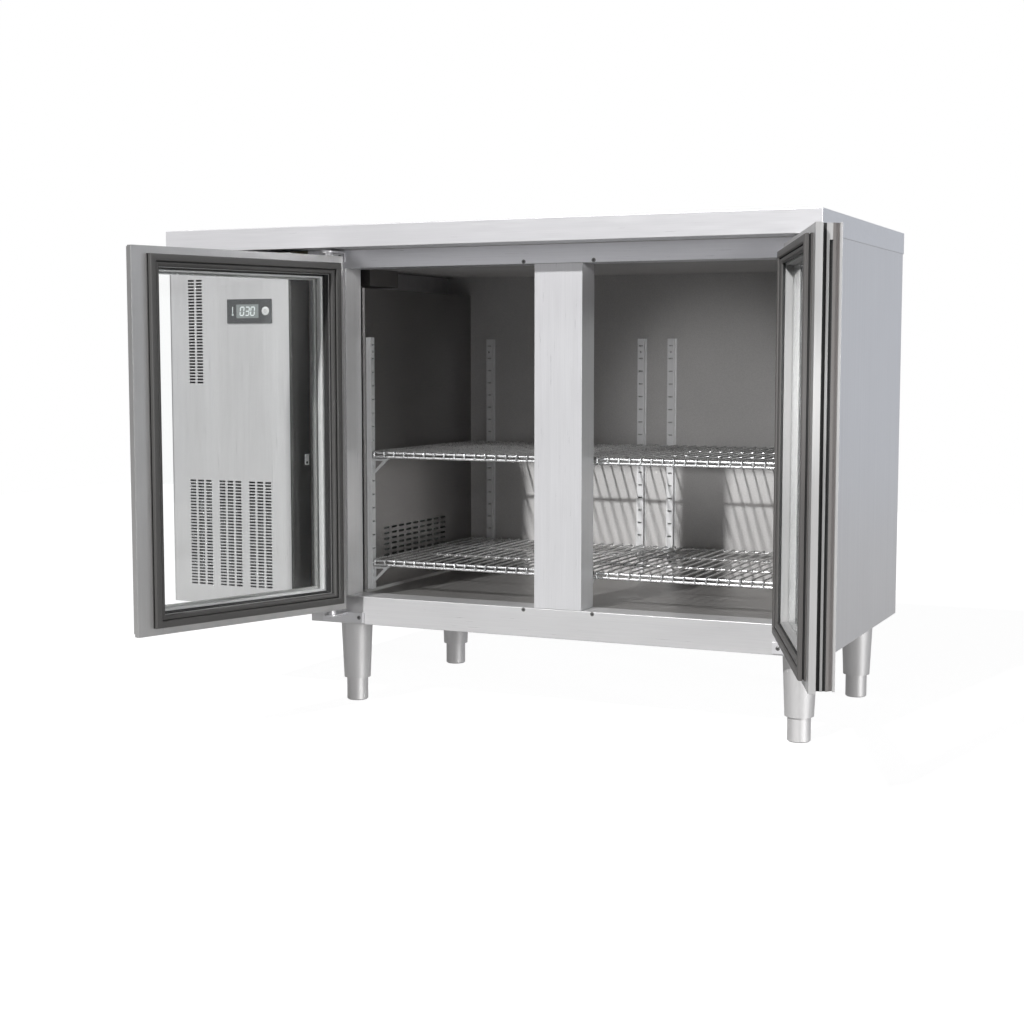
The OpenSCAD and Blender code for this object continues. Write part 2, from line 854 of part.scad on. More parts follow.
// Fan motor behind the shroud, with its shaft towards the coil
module condenser_fan_motor() {
    color("dimgray") translate([machine_mid, shroud_b, fan_z]) {
        rotate([-90, 0, 0]) cylinder(h = motor_t, r = motor_r);
        rotate([90, 0, 0]) cylinder(h = sheet + hub_t + 2 * fan_gap, r = shaft_r);
    }
}

module condenser_fan() {
    color("darkslategray") translate([machine_mid, shroud_b - sheet - fan_gap, fan_z]) rotate([90, 0, 0])
        rotor(condenser_fan_r, hub_r, hub_t);
}

// Domed shell on a foot plate, with the two pipe stubs on top
module compressor() {
    shell_z = compressor_z + plate_t;
    plate = [2 * (mount_span[0] + mount_r + plate_t), 2 * (mount_span[1] + mount_r + plate_t)];
    dome = [for (a = [0 : 10 : 90]) [compressor_r * cos(a), compressor_h - dome_h + dome_h * sin(a)]];
    color("dimgray") {
        difference() {
            translate([compressor_x - plate[0] / 2, compressor_y - plate[1] / 2, compressor_z])
                cube([plate[0], plate[1], plate_t]);
            mounts_at(compressor_z - cut) cylinder(h = plate_t + 2 * cut, r = bolt_r + run);
        }
        translate([compressor_x, compressor_y, shell_z]) {
            rotate_extrude() polygon(concat([[0, 0], [compressor_r, 0]], dome));
            for (x = [-stub_at, stub_at])
                translate([x, 0, compressor_h - dome_h]) cylinder(h = dome_h, r = stub_r);
        }
    }
}

// Repeats its children at the four compressor mounts
module mounts_at(z) {
    for (i = [-1, 1], j = [-1, 1])
        translate([compressor_x + i * mount_span[0], compressor_y + j * mount_span[1], z]) children();
}

module compressor_mounts() {
    color("black") mounts_at(tray_z) difference() {
        cylinder(h = mount_h, r = mount_r);
        translate([0, 0, -cut]) cylinder(h = mount_h + 2 * cut, r = bolt_r + run);
    }
}

// Floor of the machine compartment, with a stud for each compressor mount
module machine_tray() {
    color("silver") {
        box([machine_l, panel_y + panel_bend, panel_z], [machine_x - sheet - seat, machine_b, tray_z]);
        mounts_at(tray_z) cylinder(h = mount_h + plate_t + 2 * bolt_r, r = bolt_r);
    }
}

// Discharge, liquid and suction lines, with the filter drier on the liquid line
module refrigerant_pipes() {
    left_x = compressor_x - stub_at;
    right_x = compressor_x + stub_at;
    stub_z = compressor_z + plate_t + compressor_h;
    discharge_z = coil_top + discharge_rise;
    color("peru") {
        pipe([[left_x, compressor_y, stub_z], [left_x, compressor_y, discharge_z],
              [left_x, coil_mid, discharge_z], [left_x, coil_mid, coil_top]], pipe_r);
        pipe([[right_x, coil_mid, coil_top], [right_x, coil_mid, pipe_z], [right_x, liquid_y, pipe_z],
              [evap_mid, liquid_y, pipe_z], [evap_mid, liquid_y, evap_z1]], pipe_r);
        translate([right_x, coil_mid, coil_top + 2 * drier_r]) cylinder(h = drier_h, r = drier_r);
        pipe([[evap_mid, suction_y, evap_z1], [evap_mid, suction_y, pipe_z], [right_x, suction_y, pipe_z],
              [right_x, compressor_y, pipe_z], [right_x, compressor_y, stub_z]], pipe_r);
    }
}

// Terminal box on the left side panel
module electrical_box() {
    wall = 2 * sheet;
    low = [machine_l, liquid_y, pipe_z - terminal_drop];
    high = low + terminal_box;
    color("gray") difference() {
        box(low, high);
        box(low + [-cut, wall, wall], high - [wall, wall, wall]);
    }
}

// Cord gland in the back cover
module power_inlet() {
    color("black") translate([inlet_at[0], y_b, inlet_at[1]]) rotate([90, 0, 0]) difference() {
        union() {
            cylinder(h = inlet_len, r = inlet_r);
            translate([0, 0, -inlet_flange[0]]) cylinder(h = inlet_flange[0], r = inlet_r + inlet_flange[1]);
        }
        translate([0, 0, -inlet_flange[0] - cut])
            cylinder(h = inlet_flange[0] + inlet_len + 2 * cut, r = cord_r);
    }
}

// Legs and feet

// Tapered leg: a top plate with a stud, a hollow body and a threaded disc for the foot
module leg() {
    rise = z_base - foot_show;
    wall_slope = (leg_top_r - leg_low_r) / rise;
    difference() {
        union() {
            translate([0, 0, foot_show]) cylinder(h = rise, r1 = leg_low_r, r2 = leg_top_r);
            translate([0, 0, z_base]) cylinder(h = stud_len, r = stud_r);
        }
        leg_hollow(foot_show, nut_low, wall_slope);
        leg_hollow(nut_high, z_base - leg_cap, wall_slope);
        translate([0, 0, foot_show - cut]) cylinder(h = z_base - leg_cap - foot_show + cut, r = stem_r + run);
    }
}

// Space inside a leg between two heights, along its taper
module leg_hollow(low, high, slope) {
    inner_r = leg_low_r - leg_wall + (low - foot_show) * slope;
    translate([0, 0, low]) cylinder(h = high - low, r1 = inner_r, r2 = inner_r + (high - low) * slope);
}

module legs() {
    color("silver") for (x = leg_xs, y = leg_ys) translate([x, y, 0]) leg();
}

// Levelling foot with a chamfered lower edge and its threaded stem
module foot(i, j) {
    color("gray") translate([leg_xs[i], leg_ys[j], 0]) {
        cylinder(h = foot_edge, r1 = foot_r - foot_edge, r2 = foot_r);
        translate([0, 0, foot_edge]) cylinder(h = foot_top - foot_edge, r = foot_r);
        translate([0, 0, foot_top]) cylinder(h = stem_top - foot_top, r = stem_r);
    }
}

module foot_front_left() { foot(0, 0); }
module foot_front_right() { foot(1, 0); }
module foot_back_left() { foot(0, 1); }
module foot_back_right() { foot(1, 1); }

// Hinge brackets and screws

// Repeats its children for the left bay and, mirrored, for the right bay
module both_bays() {
    children();
    translate([2 * mid_x, 0, 0]) mirror([1, 0, 0]) children();
}

// A plate on the frame's face, a ledge under or over the door, a thrust collar and the pin
module hinge_bracket(inner, ledge_z, plate_z, collar_z, pin_z) {
    translate([pivot_l, 0, 0]) {
        box([-hinge_out, face_y - hinge_t, plate_z], [inner, face_y, plate_z + hinge_plate_h]);
        box([-ledge_nose, pivot_y, ledge_z], [ledge_nose, face_y, ledge_z + ledge_t]);
        translate([0, pivot_y, ledge_z]) cylinder(h = ledge_t, r = ledge_nose);
        translate([0, pivot_y, collar_z[0]]) cylinder(h = collar_z[1] - collar_z[0], r = collar_r);
        translate([0, pivot_y, pin_z[0]]) cylinder(h = pin_z[1] - pin_z[0], r = pin_r);
    }
}

module hinge_brackets() {
    door_top = door_z + door_h;
    color("silver") both_bays() {
        hinge_bracket(low_inner, low_ledge - ledge_t, low_ledge - hinge_plate_h,
            [low_ledge, door_z - seat], [low_ledge, door_z + pin_len]);
        hinge_bracket(ledge_nose, high_ledge, high_ledge + ledge_t - hinge_plate_h,
            [door_top + seat, high_ledge], [door_top - pin_len, high_ledge]);
    }
}

// A screw head on a face that looks towards -Y
module screw_head(x, y, z, t) {
    translate([x, y, z]) rotate([90, 0, 0]) cylinder(h = t, r = screw_r);
}

module frame_screws() {
    cover_zs = [panel_z + cover_screw[1], (panel_z + z_top) / 2, z_top - cover_screw[1]];
    color("silver") {
        both_bays() {
            for (x = low_screws)
                screw_head(pivot_l + x, face_y - hinge_t, low_ledge - hinge_plate_h / 2, screw_t);
            for (x = high_screws)
                screw_head(pivot_l + x, face_y - hinge_t, high_ledge + ledge_t - hinge_plate_h / 2, screw_t);
        }
        for (x = [mull_l - mullion_screw, mull_r + mullion_screw], z = [sill_z - screw_r, head_z + screw_r])
            screw_head(x, face_y, z, flush_t);
        for (x = [machine_l + cover_screw[0], machine_x - cover_screw[0]], z = cover_zs)
            screw_head(x, y_b + screw_t, z, screw_t);
        translate([machine_x, face_y + catch_from[0], panel_z + catch_from[1]]) cube(catch);
    }
}

// Doors, drawn closed with the hinge edge at X = 0, the outer face at Y = 0 and the base at Z = 0

// Hangs a door's pieces on the left bay's hinge axis at an opening angle
module hung(angle) {
    translate([pivot_l, pivot_y, door_z]) rotate(-angle) translate([-pivot_in, -pivot_face, 0]) children();
}

module left_door() {
    hung(left_open) children();
}

module right_door() {
    translate([2 * mid_x, 0, 0]) mirror([1, 0, 0]) hung(right_open) children();
}

// Section of a rail or hinge stile, X from the door's edge and Y from the outer face:
// the outer lip covers more of the glass than the inner one, which ends beside the gasket
module rail_section() {
    polygon([[0, 0], [door_rail_w, 0], [door_rail_w, glass_front], [seat_w, glass_front],
             [seat_w, glass_back], [bead_w, glass_back], [bead_w, door_t], [0, door_t]]);
}

// Section of the handle stile, X from the door's free edge and Y from the inner face:
// a strip along the gasket, two grooves with a rib between them, and a finger ramp behind the outer lip
module handle_section() {
    rib_y = strip_t + groove_in;
    low_y = rib_y + rib_w;
    ramp_y = low_y + groove_out;
    lip_y = door_t - lip_t;
    front_y = door_t - glass_front;
    back_y = door_t - glass_back;
    polygon([[0, 0], [0, strip_t], [groove_deep, strip_t], [groove_deep, rib_y], [rib_set, rib_y],
             [rib_set, low_y], [groove_deep, low_y], [groove_deep, ramp_y], [ramp_high, ramp_y],
             [ramp_low, lip_y], [lip_set, lip_y], [lip_set, door_t], [handle_w, door_t], [handle_w, front_y],
             [seat_free, front_y], [seat_free, back_y], [bead_free, back_y], [bead_free, 0]]);
}

module hinge_stile_bar() {
    linear_extrude(door_h) rail_section();
}

module handle_stile_bar() {
    translate([door_w, door_t, 0]) rotate(180) linear_extrude(door_h) handle_section();
}

module hinge_stile() {
    color("lightgray") difference() {
        hinge_stile_bar();
        for (z = [-cut, door_h - pin_len - seat])
            translate([pivot_in, pivot_face, z]) cylinder(h = pin_len + seat + cut, r = pin_r + run);
    }
}

// Handle stile with a plug at the top of its outer groove
module handle_stile() {
    plug_y = strip_t + groove_in + rib_w + groove_out;
    color("lightgray") {
        handle_stile_bar();
        translate([door_w - groove_deep, door_t - plug_y, door_h - end_cap])
            cube([groove_deep - rib_set, groove_out, end_cap]);
    }
}

// Top and bottom rails, cut to the sections of the two stiles
module door_rails() {
    from = bead_w;
    to = door_w - bead_free;
    color("lightgray") difference() {
        for (top = [0, 1]) translate([from, 0, top * door_h]) mirror([0, 0, top])
            mirror([1, 0, -1]) linear_extrude(to - from) rail_section();
        hinge_stile_bar();
        handle_stile_bar();
    }
}

// Two panes held between the outer and the inner lips
module door_glass() {
    color("lightblue", 0.3) for (y = [glass_front, glass_back - pane_t])
        translate([glass_at, y, glass_at]) cube([glass_w, pane_t, glass_h]);
}

// Frame that keeps the two panes apart
module door_spacer() {
    color("silver") translate([glass_at, glass_back - pane_t, glass_at]) rotate([90, 0, 0])
        linear_extrude(glass_t - 2 * pane_t) difference() {
            square([glass_w, glass_h]);
            translate([spacer_w, spacer_w]) square([glass_w - 2 * spacer_w, glass_h - 2 * spacer_w]);
        }
}

module door_gasket() {
    inside = gasket_margin + gasket_w;
    color("dimgray") translate([0, door_t + gasket_t, 0]) rotate([90, 0, 0]) linear_extrude(gasket_t)
        difference() {
            translate([gasket_margin, gasket_margin])
                square([door_w - gasket_margin - gasket_free, door_h - 2 * gasket_margin]);
            translate([inside, inside])
                square([door_w - inside - gasket_free - gasket_w, door_h - 2 * inside]);
        }
}

module left_door_hinge_stile() { left_door() hinge_stile(); }
module left_door_handle_stile() { left_door() handle_stile(); }
module left_door_rails() { left_door() door_rails(); }
module left_door_glass() { left_door() door_glass(); }
module left_door_spacer() { left_door() door_spacer(); }
module left_door_gasket() { left_door() door_gasket(); }
module right_door_hinge_stile() { right_door() hinge_stile(); }
module right_door_handle_stile() { right_door() handle_stile(); }
module right_door_rails() { right_door() door_rails(); }
module right_door_glass() { right_door() door_glass(); }
module right_door_spacer() { right_door() door_spacer(); }
module right_door_gasket() { right_door() door_gasket(); }

worktop();
right_side_panel();
left_side_panel();
back_panel();
machine_back_cover();
base_panel();
partition();
top_rail();
bottom_rail();
front_stiles();
mullion();
liner_back();
liner_right();
liner_floor();
liner_ceiling();
insulation();
evaporator_cover();
evaporator_coil();
evaporator_fan_motor();
evaporator_fan();
drip_tray();
pilasters();
shelf_clips();
shelf_left_lower();
shelf_left_upper();
shelf_right_lower();
shelf_right_upper();
control_panel();
controller();
controller_display();
set_button();
condenser_coil();
condenser_shroud();
condenser_fan_motor();
condenser_fan();
compressor();
compressor_mounts();
machine_tray();
refrigerant_pipes();
electrical_box();
power_inlet();
legs();
foot_front_left();
foot_front_right();
foot_back_left();
foot_back_right();
hinge_brackets();
frame_screws();
left_door_hinge_stile();
left_door_handle_stile();
left_door_rails();
left_door_glass();
left_door_spacer();
left_door_gasket();
right_door_hinge_stile();
right_door_handle_stile();
right_door_rails();
right_door_glass();
right_door_spacer();
right_door_gasket();
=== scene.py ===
"""Looks of an undercounter refrigerator with two glass doors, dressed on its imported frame.

Metres. X runs to the right, Y to the back and Z up, from the floor under the worktop's middle.
"""

import json
import math

import bmesh
import bpy
from mathutils import Matrix, Vector


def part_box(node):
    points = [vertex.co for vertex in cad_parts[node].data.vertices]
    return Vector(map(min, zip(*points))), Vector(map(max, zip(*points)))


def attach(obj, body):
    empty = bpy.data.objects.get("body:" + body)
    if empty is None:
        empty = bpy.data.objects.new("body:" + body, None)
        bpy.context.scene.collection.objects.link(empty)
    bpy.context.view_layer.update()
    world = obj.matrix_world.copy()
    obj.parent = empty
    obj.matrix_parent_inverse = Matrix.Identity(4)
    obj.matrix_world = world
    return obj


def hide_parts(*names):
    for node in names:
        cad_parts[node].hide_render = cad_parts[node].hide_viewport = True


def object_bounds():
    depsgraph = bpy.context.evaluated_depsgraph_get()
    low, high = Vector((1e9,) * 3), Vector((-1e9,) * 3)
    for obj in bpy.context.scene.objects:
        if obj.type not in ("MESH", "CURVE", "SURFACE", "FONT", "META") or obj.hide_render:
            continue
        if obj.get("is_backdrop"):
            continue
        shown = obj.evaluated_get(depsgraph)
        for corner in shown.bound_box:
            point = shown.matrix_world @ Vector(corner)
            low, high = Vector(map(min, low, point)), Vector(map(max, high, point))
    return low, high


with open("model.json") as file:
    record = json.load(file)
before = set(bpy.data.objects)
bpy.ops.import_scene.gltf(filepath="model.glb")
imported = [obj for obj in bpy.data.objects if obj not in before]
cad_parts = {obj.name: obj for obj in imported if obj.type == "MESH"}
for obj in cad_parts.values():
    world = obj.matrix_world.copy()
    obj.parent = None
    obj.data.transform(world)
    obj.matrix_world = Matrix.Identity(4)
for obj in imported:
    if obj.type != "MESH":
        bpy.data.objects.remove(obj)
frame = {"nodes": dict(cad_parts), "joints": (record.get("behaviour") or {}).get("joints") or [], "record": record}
cad_low, cad_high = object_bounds()
nodes = frame["nodes"]
joints = {joint["name"]: joint for joint in frame["joints"]}
scene = bpy.context.scene
scene.view_settings.view_transform = "Standard"

MM = 0.001

# Camera, fitted to the corners of the worktop, body and legs
EYE = Vector((1.240374, -2.830358, 0.625967))
EYE_TURN = math.radians(24.535)
EYE_DIP = math.radians(5.277)
LENS = 59.23
SENSOR = 36.0

# Light: the way that each lamp shines, and the tones that the surroundings show from each side
KEY_WAY = Vector((0.208, 1.0, -0.72))
KEY_POWER = 3.4
KEY_SPREAD = math.radians(2.2)
SIDE_KEY_WAY = Vector((-0.9, 0.42, -0.1))
SIDE_KEY_POWER = 1.4
SIDE_KEY_SPREAD = math.radians(12)
FILL_AT = Vector((1.16, -2.75, 0.66))
FILL_TO = Vector((0.27, 0.255, 0.53))
FILL_POWER = 100.0
FILL_CONE = math.radians(9.5)
FILL_RADIUS = 0.04
AMBIENT = 0.02
RIGHT_LIGHT = 0.03
RIGHT_WAY = Vector((0.9, -0.43, 0.0))
FRONT_TONE = (0.53, 0.53, 0.545, 1.0)
SIDE_TONE = (0.66, 0.7, 0.77, 1.0)
TOP_TONE = (0.85, 0.86, 0.88, 1.0)
LEFT_TONE = (0.1, 0.1, 0.105, 1.0)
SIDE_WAY = Vector((0.6, 0.8, 0.0))
LEFT_WAY = Vector((-1.0, 0.0, 0.0))
TOP_WAY = Vector((0.0, 0.0, 1.0))
# Where each tone of the surroundings begins and is full, as the cosine of the angle to its way
SIDE_SPAN = (-0.1, 0.8)
LEFT_SPAN = (0.6, 0.9)
TOP_SPAN = (0.2, 0.9)
RIGHT_SPAN = (0.0, 0.9)
WHITE = (1.0, 1.0, 1.0, 1.0)
ONE_BOUNCE = 1.0
FLOOR_SIZE = 8.0
FLOOR_DROP = 0.5 * MM
FLOOR_GLOW = 0.95
FLOOR_SHINE = 0.42
FLOOR_TONE = 0.2
FLOOR_GRAIN = 40.0
FLOOR_DEPTH = 0.02
FLOOR_ROUGH = 0.9
FLOOR_GLOSS = 0.1

# Door sizes, in the door's own frame: X from the hinge edge, Y from the outer face, Z from its base
DOOR_W = 430 * MM
DOOR_H = 618 * MM
DOOR_T = 37 * MM
PIVOT_IN = 13 * MM
PIVOT_FACE = 12.4 * MM
GASKET_MARGIN = 12 * MM
GASKET_FREE = 28 * MM
BEAD = 33 * MM
BEAD_FREE = 49 * MM
PANE_Y = 26 * MM
SPACER_IN = 26 * MM
SPACER_FREE = 42 * MM
SPACER_Y = 10.2 * MM
PLUG_H = 22 * MM

# Meshes: points closer than this are one, and edges sharper than these angles are rounded or stay sharp
WELD = 0.01 * MM
BEVEL_ANGLE = math.radians(40)
SHARP_DEG = 35
STRIP_SHARP_DEG = 50


class Nodes:
    """A node tree under construction, with short calls that add nodes and join them."""

    def __init__(self, tree):
        self.tree = tree

    def add(self, kind, sockets=None, **settings):
        """A new node. Each socket is set to a value, or joined to another node's output."""
        node = self.tree.nodes.new(kind)
        for name, value in settings.items():
            setattr(node, name, value)
        self.put(node, sockets or {})
        return node

    def put(self, node, sockets):
        for key, value in sockets.items():
            if isinstance(value, bpy.types.NodeSocket):
                self.tree.links.new(value, node.inputs[key])
            else:
                node.inputs[key].default_value = value

    def math(self, operation, a, b):
        return self.add("ShaderNodeMath", {0: a, 1: b}, operation=operation).outputs[0]

    def mix(self, factor, a, b):
        """A colour between a and b."""
        return self.add("ShaderNodeMix", {0: factor, 6: a, 7: b}, data_type="RGBA").outputs[2]

    def span(self, value, low, high, start=0.25, end=0.75, **settings):
        """A value between start and end, spread from low to high."""
        sockets = {"Value": value, "From Min": start, "From Max": end, "To Min": low, "To Max": high}
        return self.add("ShaderNodeMapRange", sockets, **settings).outputs["Result"]

    def join_shaders(self, factor, a, b):
        """Shader a where the factor is 0 and shader b where it is 1."""
        return self.add("ShaderNodeMixShader", {0: factor, 1: a, 2: b}).outputs[0]


class Shader(Nodes):
    """A material on its principled shader."""

    def __init__(self, name):
        self.material = bpy.data.materials.new(name)
        self.material.use_nodes = True
        super().__init__(self.material.node_tree)
        self.bsdf = self.tree.nodes["Principled BSDF"]
        self.output = self.tree.nodes["Material Output"]

    def place(self, scale, turn=0.0):
        """Object coordinates, turned about Z and then scaled per axis."""
        coords = self.add("ShaderNodeTexCoord")
        turned = self.add("ShaderNodeVectorRotate", {"Vector": coords.outputs["Object"], "Angle": turn},
                          rotation_type="Z_AXIS")
        scaled = self.add("ShaderNodeVectorMath", {0: turned.outputs[0], 1: scale}, operation="MULTIPLY")
        return scaled.outputs[0]

    def noise(self, vector, scale, detail=2.0, rough=0.5):
        sockets = {"Vector": vector, "Scale": scale, "Detail": detail, "Roughness": rough}
        return self.add("ShaderNodeTexNoise", sockets).outputs[0]

    def blend(self, *layers):
        """The sum of noises, each times its share."""
        total = 0.0
        for value, share in layers:
            total = self.math("ADD", self.math("MULTIPLY", value, share), total)
        return total

    def toned(self, value, tone, depth):
        """A tone that turns darker and lighter by a depth as a noise runs through its middle stretch."""
        factor = self.span(value, 0.0, 1.0, *TONE_SPAN)
        return self.mix(factor, shade(tone, 1 - depth), shade(tone, 1 + depth))

    def bump(self, height, strength, distance):
        sockets = {"Height": height, "Strength": strength, "Distance": distance}
        return self.add("ShaderNodeBump", sockets).outputs[0]

    def finish(self, sockets):
        self.put(self.bsdf, sockets)
        return self.material

    def surface(self, shader):
        """Puts another shader in the principled one's place."""
        self.tree.links.new(shader, self.output.inputs["Surface"])


def shade(tone, share):
    """An RGBA colour that is a tone times a share."""
    return tuple(min(1.0, part * share) for part in tone) + (1.0,)


EVEN = (1.0, 1.0, 1.0)
TONE_SPAN = (0.3, 0.7)
# Sizes of the brushing: streaks and clouds per metre, and how much longer a streak is than wide
FINE_STREAKS = 1100.0
BROAD_STREAKS = 110.0
STREAK_LENGTH = 70.0
CLOUDS = 5.0
# Shares of the layers in a tone, strength and height of the relief, and the spread of the roughness
BRUSH_SHARES = (0.45, 0.3, 0.25)
BRUSH_RELIEF = 0.06
BRUSH_HEIGHT = 0.2 * MM
BRUSH_GLOSS = (-0.05, 0.07)
GRAIN_SHARES = (0.7, 0.3)
GRAIN_EDGE = 0.6
GRAIN_HEIGHT = 0.3 * MM
GRAIN_GLOSS = (-0.06, 0.08)
# Glass
SMEARS = 9.0
GLASS_TONES = ((0.982, 0.988, 0.985, 1.0), (0.992, 0.996, 0.994, 1.0))
GLASS_PASS = (0.96, 0.97, 0.965, 1.0)
GLASS_IOR = 1.2


def brushed(name, tone, rough=0.32, along=2, turn=0.0, metal=0.5, depth=0.06):
    """Brushed sheet: streaks along one axis in tone, gloss and relief, over faint broad clouds."""
    m = Shader(name)
    stretch = [1.0, 1.0, 1.0]
    stretch[along] = 1.0 / STREAK_LENGTH
    place = m.place(stretch, turn)
    fine = m.noise(place, FINE_STREAKS, detail=3.0)
    broad = m.noise(place, BROAD_STREAKS)
    cloud = m.noise(m.place(EVEN), CLOUDS)
    layers = m.blend(*zip((fine, broad, cloud), BRUSH_SHARES))
    return m.finish({
        "Base Color": m.toned(layers, tone, depth),
        "Metallic": metal,
        "Roughness": m.span(fine, *(rough + change for change in BRUSH_GLOSS)),
        "Normal": m.bump(fine, BRUSH_RELIEF, BRUSH_HEIGHT),
    })


def grained(name, tone, rough, metal, grain=900.0, depth=0.14, relief=0.12, gloss=0.5):
    """Fine even grain, as on a rolled liner sheet or a moulding."""
    m = Shader(name)
    place = m.place(EVEN)
    fine = m.noise(place, grain, rough=GRAIN_EDGE)
    cloud = m.noise(place, CLOUDS)
    layers = m.blend(*zip((fine, cloud), GRAIN_SHARES))
    return m.finish({
        "Base Color": m.toned(layers, tone, depth),
        "Metallic": metal,
        "Specular IOR Level": gloss,
        "Roughness": m.span(fine, *(rough + change for change in GRAIN_GLOSS)),
        "Normal": m.bump(fine, relief, GRAIN_HEIGHT),
    })


def clear_glass(name):
    """Clear pane: refracts what is seen through it, and lets plain light pass to what is behind."""
    m = Shader(name)
    smear = m.noise(m.place(EVEN), SMEARS, detail=4.0)
    m.finish({
        "Base Color": m.mix(smear, *GLASS_TONES),
        "Roughness": 0.0,
        "IOR": GLASS_IOR,
        "Transmission Weight": 1.0,
    })
    path = m.add("ShaderNodeLightPath")
    plain = m.math("MAXIMUM", path.outputs["Is Shadow Ray"], path.outputs["Is Diffuse Ray"])
    through = m.add("ShaderNodeBsdfTransparent", {"Color": GLASS_PASS}).outputs[0]
    m.surface(m.join_shaders(plain, m.bsdf.outputs[0], through))
    return m.material


def door_turn(side):
    """Angle about Z from a closed door to the door as it stands."""
    joint = joints[side + "_door_hinge"]
    return math.radians(joint["range_deg"][0]) * -joint["axis"][2]


def door_matrix(side):
    """From the door's own frame to the part's frame, mirrored for the right door."""
    pivot = Vector(joints[side + "_door_hinge"]["pos_m"])
    pivot.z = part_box(side + "_door_rails")[0].z
    flip = -1.0 if side == "right" else 1.0
    swing = Matrix.Translation(pivot) @ Matrix.Rotation(door_turn(side), 4, "Z")
    to_pivot = Matrix.Translation((-PIVOT_IN, -PIVOT_FACE, 0.0))
    return swing @ Matrix.Diagonal((flip, 1.0, 1.0, 1.0)) @ to_pivot


def mesh_piece(name, points, faces, materials, body, tags=None, sharp=SHARP_DEG):
    """A piece from points and faces that rides on a body. Tags give each face's material."""
    mesh = bpy.data.meshes.new(name)
    mesh.from_pydata([tuple(point) for point in points], [], faces)
    for material in materials:
        mesh.materials.append(material)
    if tags:
        mesh.polygons.foreach_set("material_index", tags)
    shell = bmesh.new()
    shell.from_mesh(mesh)
    bmesh.ops.recalc_face_normals(shell, faces=shell.faces)
    shell.to_mesh(mesh)
    shell.free()
    mesh.shade_smooth()
    mesh.set_sharp_from_angle(angle=math.radians(sharp))
    piece = bpy.data.objects.new(name, mesh)
    scene.collection.objects.link(piece)
    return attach(piece, body)


def soften(name, width, segments=2):
    """Rounds a node's sharp edges without touching its mesh."""
    weld = nodes[name].modifiers.new("weld", "WELD")
    weld.merge_threshold = WELD
    bevel = nodes[name].modifiers.new("bevel", "BEVEL")
    bevel.width = width
    bevel.segments = segments
    bevel.limit_method = "ANGLE"
    bevel.angle_limit = BEVEL_ANGLE
    bevel.harden_normals = True


def islands(name):
    """Lowest and highest corner of each separate solid of a node."""
    shell = bmesh.new()
    shell.from_mesh(nodes[name].data)
    bmesh.ops.remove_doubles(shell, verts=shell.verts, dist=WELD)
    shell.verts.ensure_lookup_table()
    seen = set()
    boxes = []
    for start in shell.verts:
        if start in seen:
            continue
        group = [start]
        seen.add(start)
        for vert in group:
            for edge in vert.link_edges:
                other = edge.other_vert(vert)
                if other not in seen:
                    seen.add(other)
                    group.append(other)
        low = Vector([min(vert.co[i] for vert in group) for i in range(3)])
        high = Vector([max(vert.co[i] for vert in group) for i in range(3)])
        boxes.append((low, high))
    shell.free()
    return boxes


class Solid:
    """Points, faces and material tags of a piece that is put together from several forms."""

    def __init__(self):
        self.points = []
        self.faces = []
        self.tags = []

    def put(self, points, faces, matrix=None, tag=0):
        first = len(self.points)
        for point in points:
            self.points.append(matrix @ Vector(point) if matrix else Vector(point))
        for face in faces:
            self.faces.append([first + index for index in face])
            self.tags.append(tag)

    def lathe(self, profile, matrix, tag=0, steps=32):
        """A form turned about Z from (radius, height) points; a radius of 0 closes it."""
        points = []
        rings = []
        for radius, height in profile:
            if radius == 0:
                rings.append([len(points)] * steps)
                points.append((0.0, 0.0, height))
                continue
            rings.append([len(points) + i for i in range(steps)])
            for i in range(steps):
                angle = 2 * math.pi * i / steps
                points.append((radius * math.cos(angle), radius * math.sin(angle), height))
        faces = []
        for low, high in zip(rings, rings[1:]):
            for i in range(steps):
                j = (i + 1) % steps
                face = [low[i], low[j], high[j], high[i]]
                faces.append([index for k, index in enumerate(face) if index not in face[:k]])
        self.put(points, faces, matrix, tag)

    def prism(self, outline, depth, matrix, tag=0):
        """A flat outline in X and Y, raised along Z."""
        count = len(outline)
        points = [(x, y, z) for z in (0.0, depth) for x, y in outline]
        faces = [list(range(count))[::-1], list(range(count, 2 * count))]
        for i in range(count):
            j = (i + 1) % count
            faces.append([i, j, count + j, count + i])
        self.put(points, faces, matrix, tag)

    def piece(self, name, materials, body):
        return mesh_piece(name, self.points, self.faces, materials, body, self.tags)


def facing(place, normal):
    """A frame at a place whose Z points along a face's normal and whose Y points up where it can."""
    z = Vector(normal).normalized()
    up = Vector((0.0, 0.0, 1.0))
    x = up.cross(z).normalized()
    y = z.cross(x)
    turn = Matrix((x, y, z)).transposed().to_4x4()
    return Matrix.Translation(place) @ turn


# Materials. After a grained one's tone come its roughness, its metal, and where they differ from the usual
# ones its grains per metre, depth of tone and relief.

STEEL = (0.72, 0.715, 0.73)
stainless = brushed("stainless_vertical", STEEL)
stainless_across = brushed("stainless_across", STEEL, along=0)
panel_steel = brushed("stainless_panel", (0.74, 0.735, 0.735), metal=0.8)
# The stile and the top rail are lighter copies of the stainless, painted light, and the bottom rail is a darker
# copy, painted shade
stile_painted_light = brushed("stainless_stile_painted_light", (0.93, 0.925, 0.93))
high_rail_painted_light = brushed("stainless_high_rail_painted_light", (0.87, 0.87, 0.9), along=0)
low_rail_painted_shade = brushed("stainless_low_rail_painted_shade", (0.68, 0.675, 0.68), along=0)
side_steel = brushed("stainless_side", STEEL, rough=0.4)
liner = grained("liner_sheet", (0.49, 0.482, 0.478), 0.6, 0.0, gloss=0.05)
cover_sheet = grained("cover_sheet", (0.32, 0.312, 0.308), 0.3, 0.95)
floor_sheet = grained("floor_sheet", (0.38, 0.37, 0.36), 0.42, 0.75)
post_steel = brushed("post_steel", (0.72, 0.72, 0.725), rough=0.35, metal=0.2)
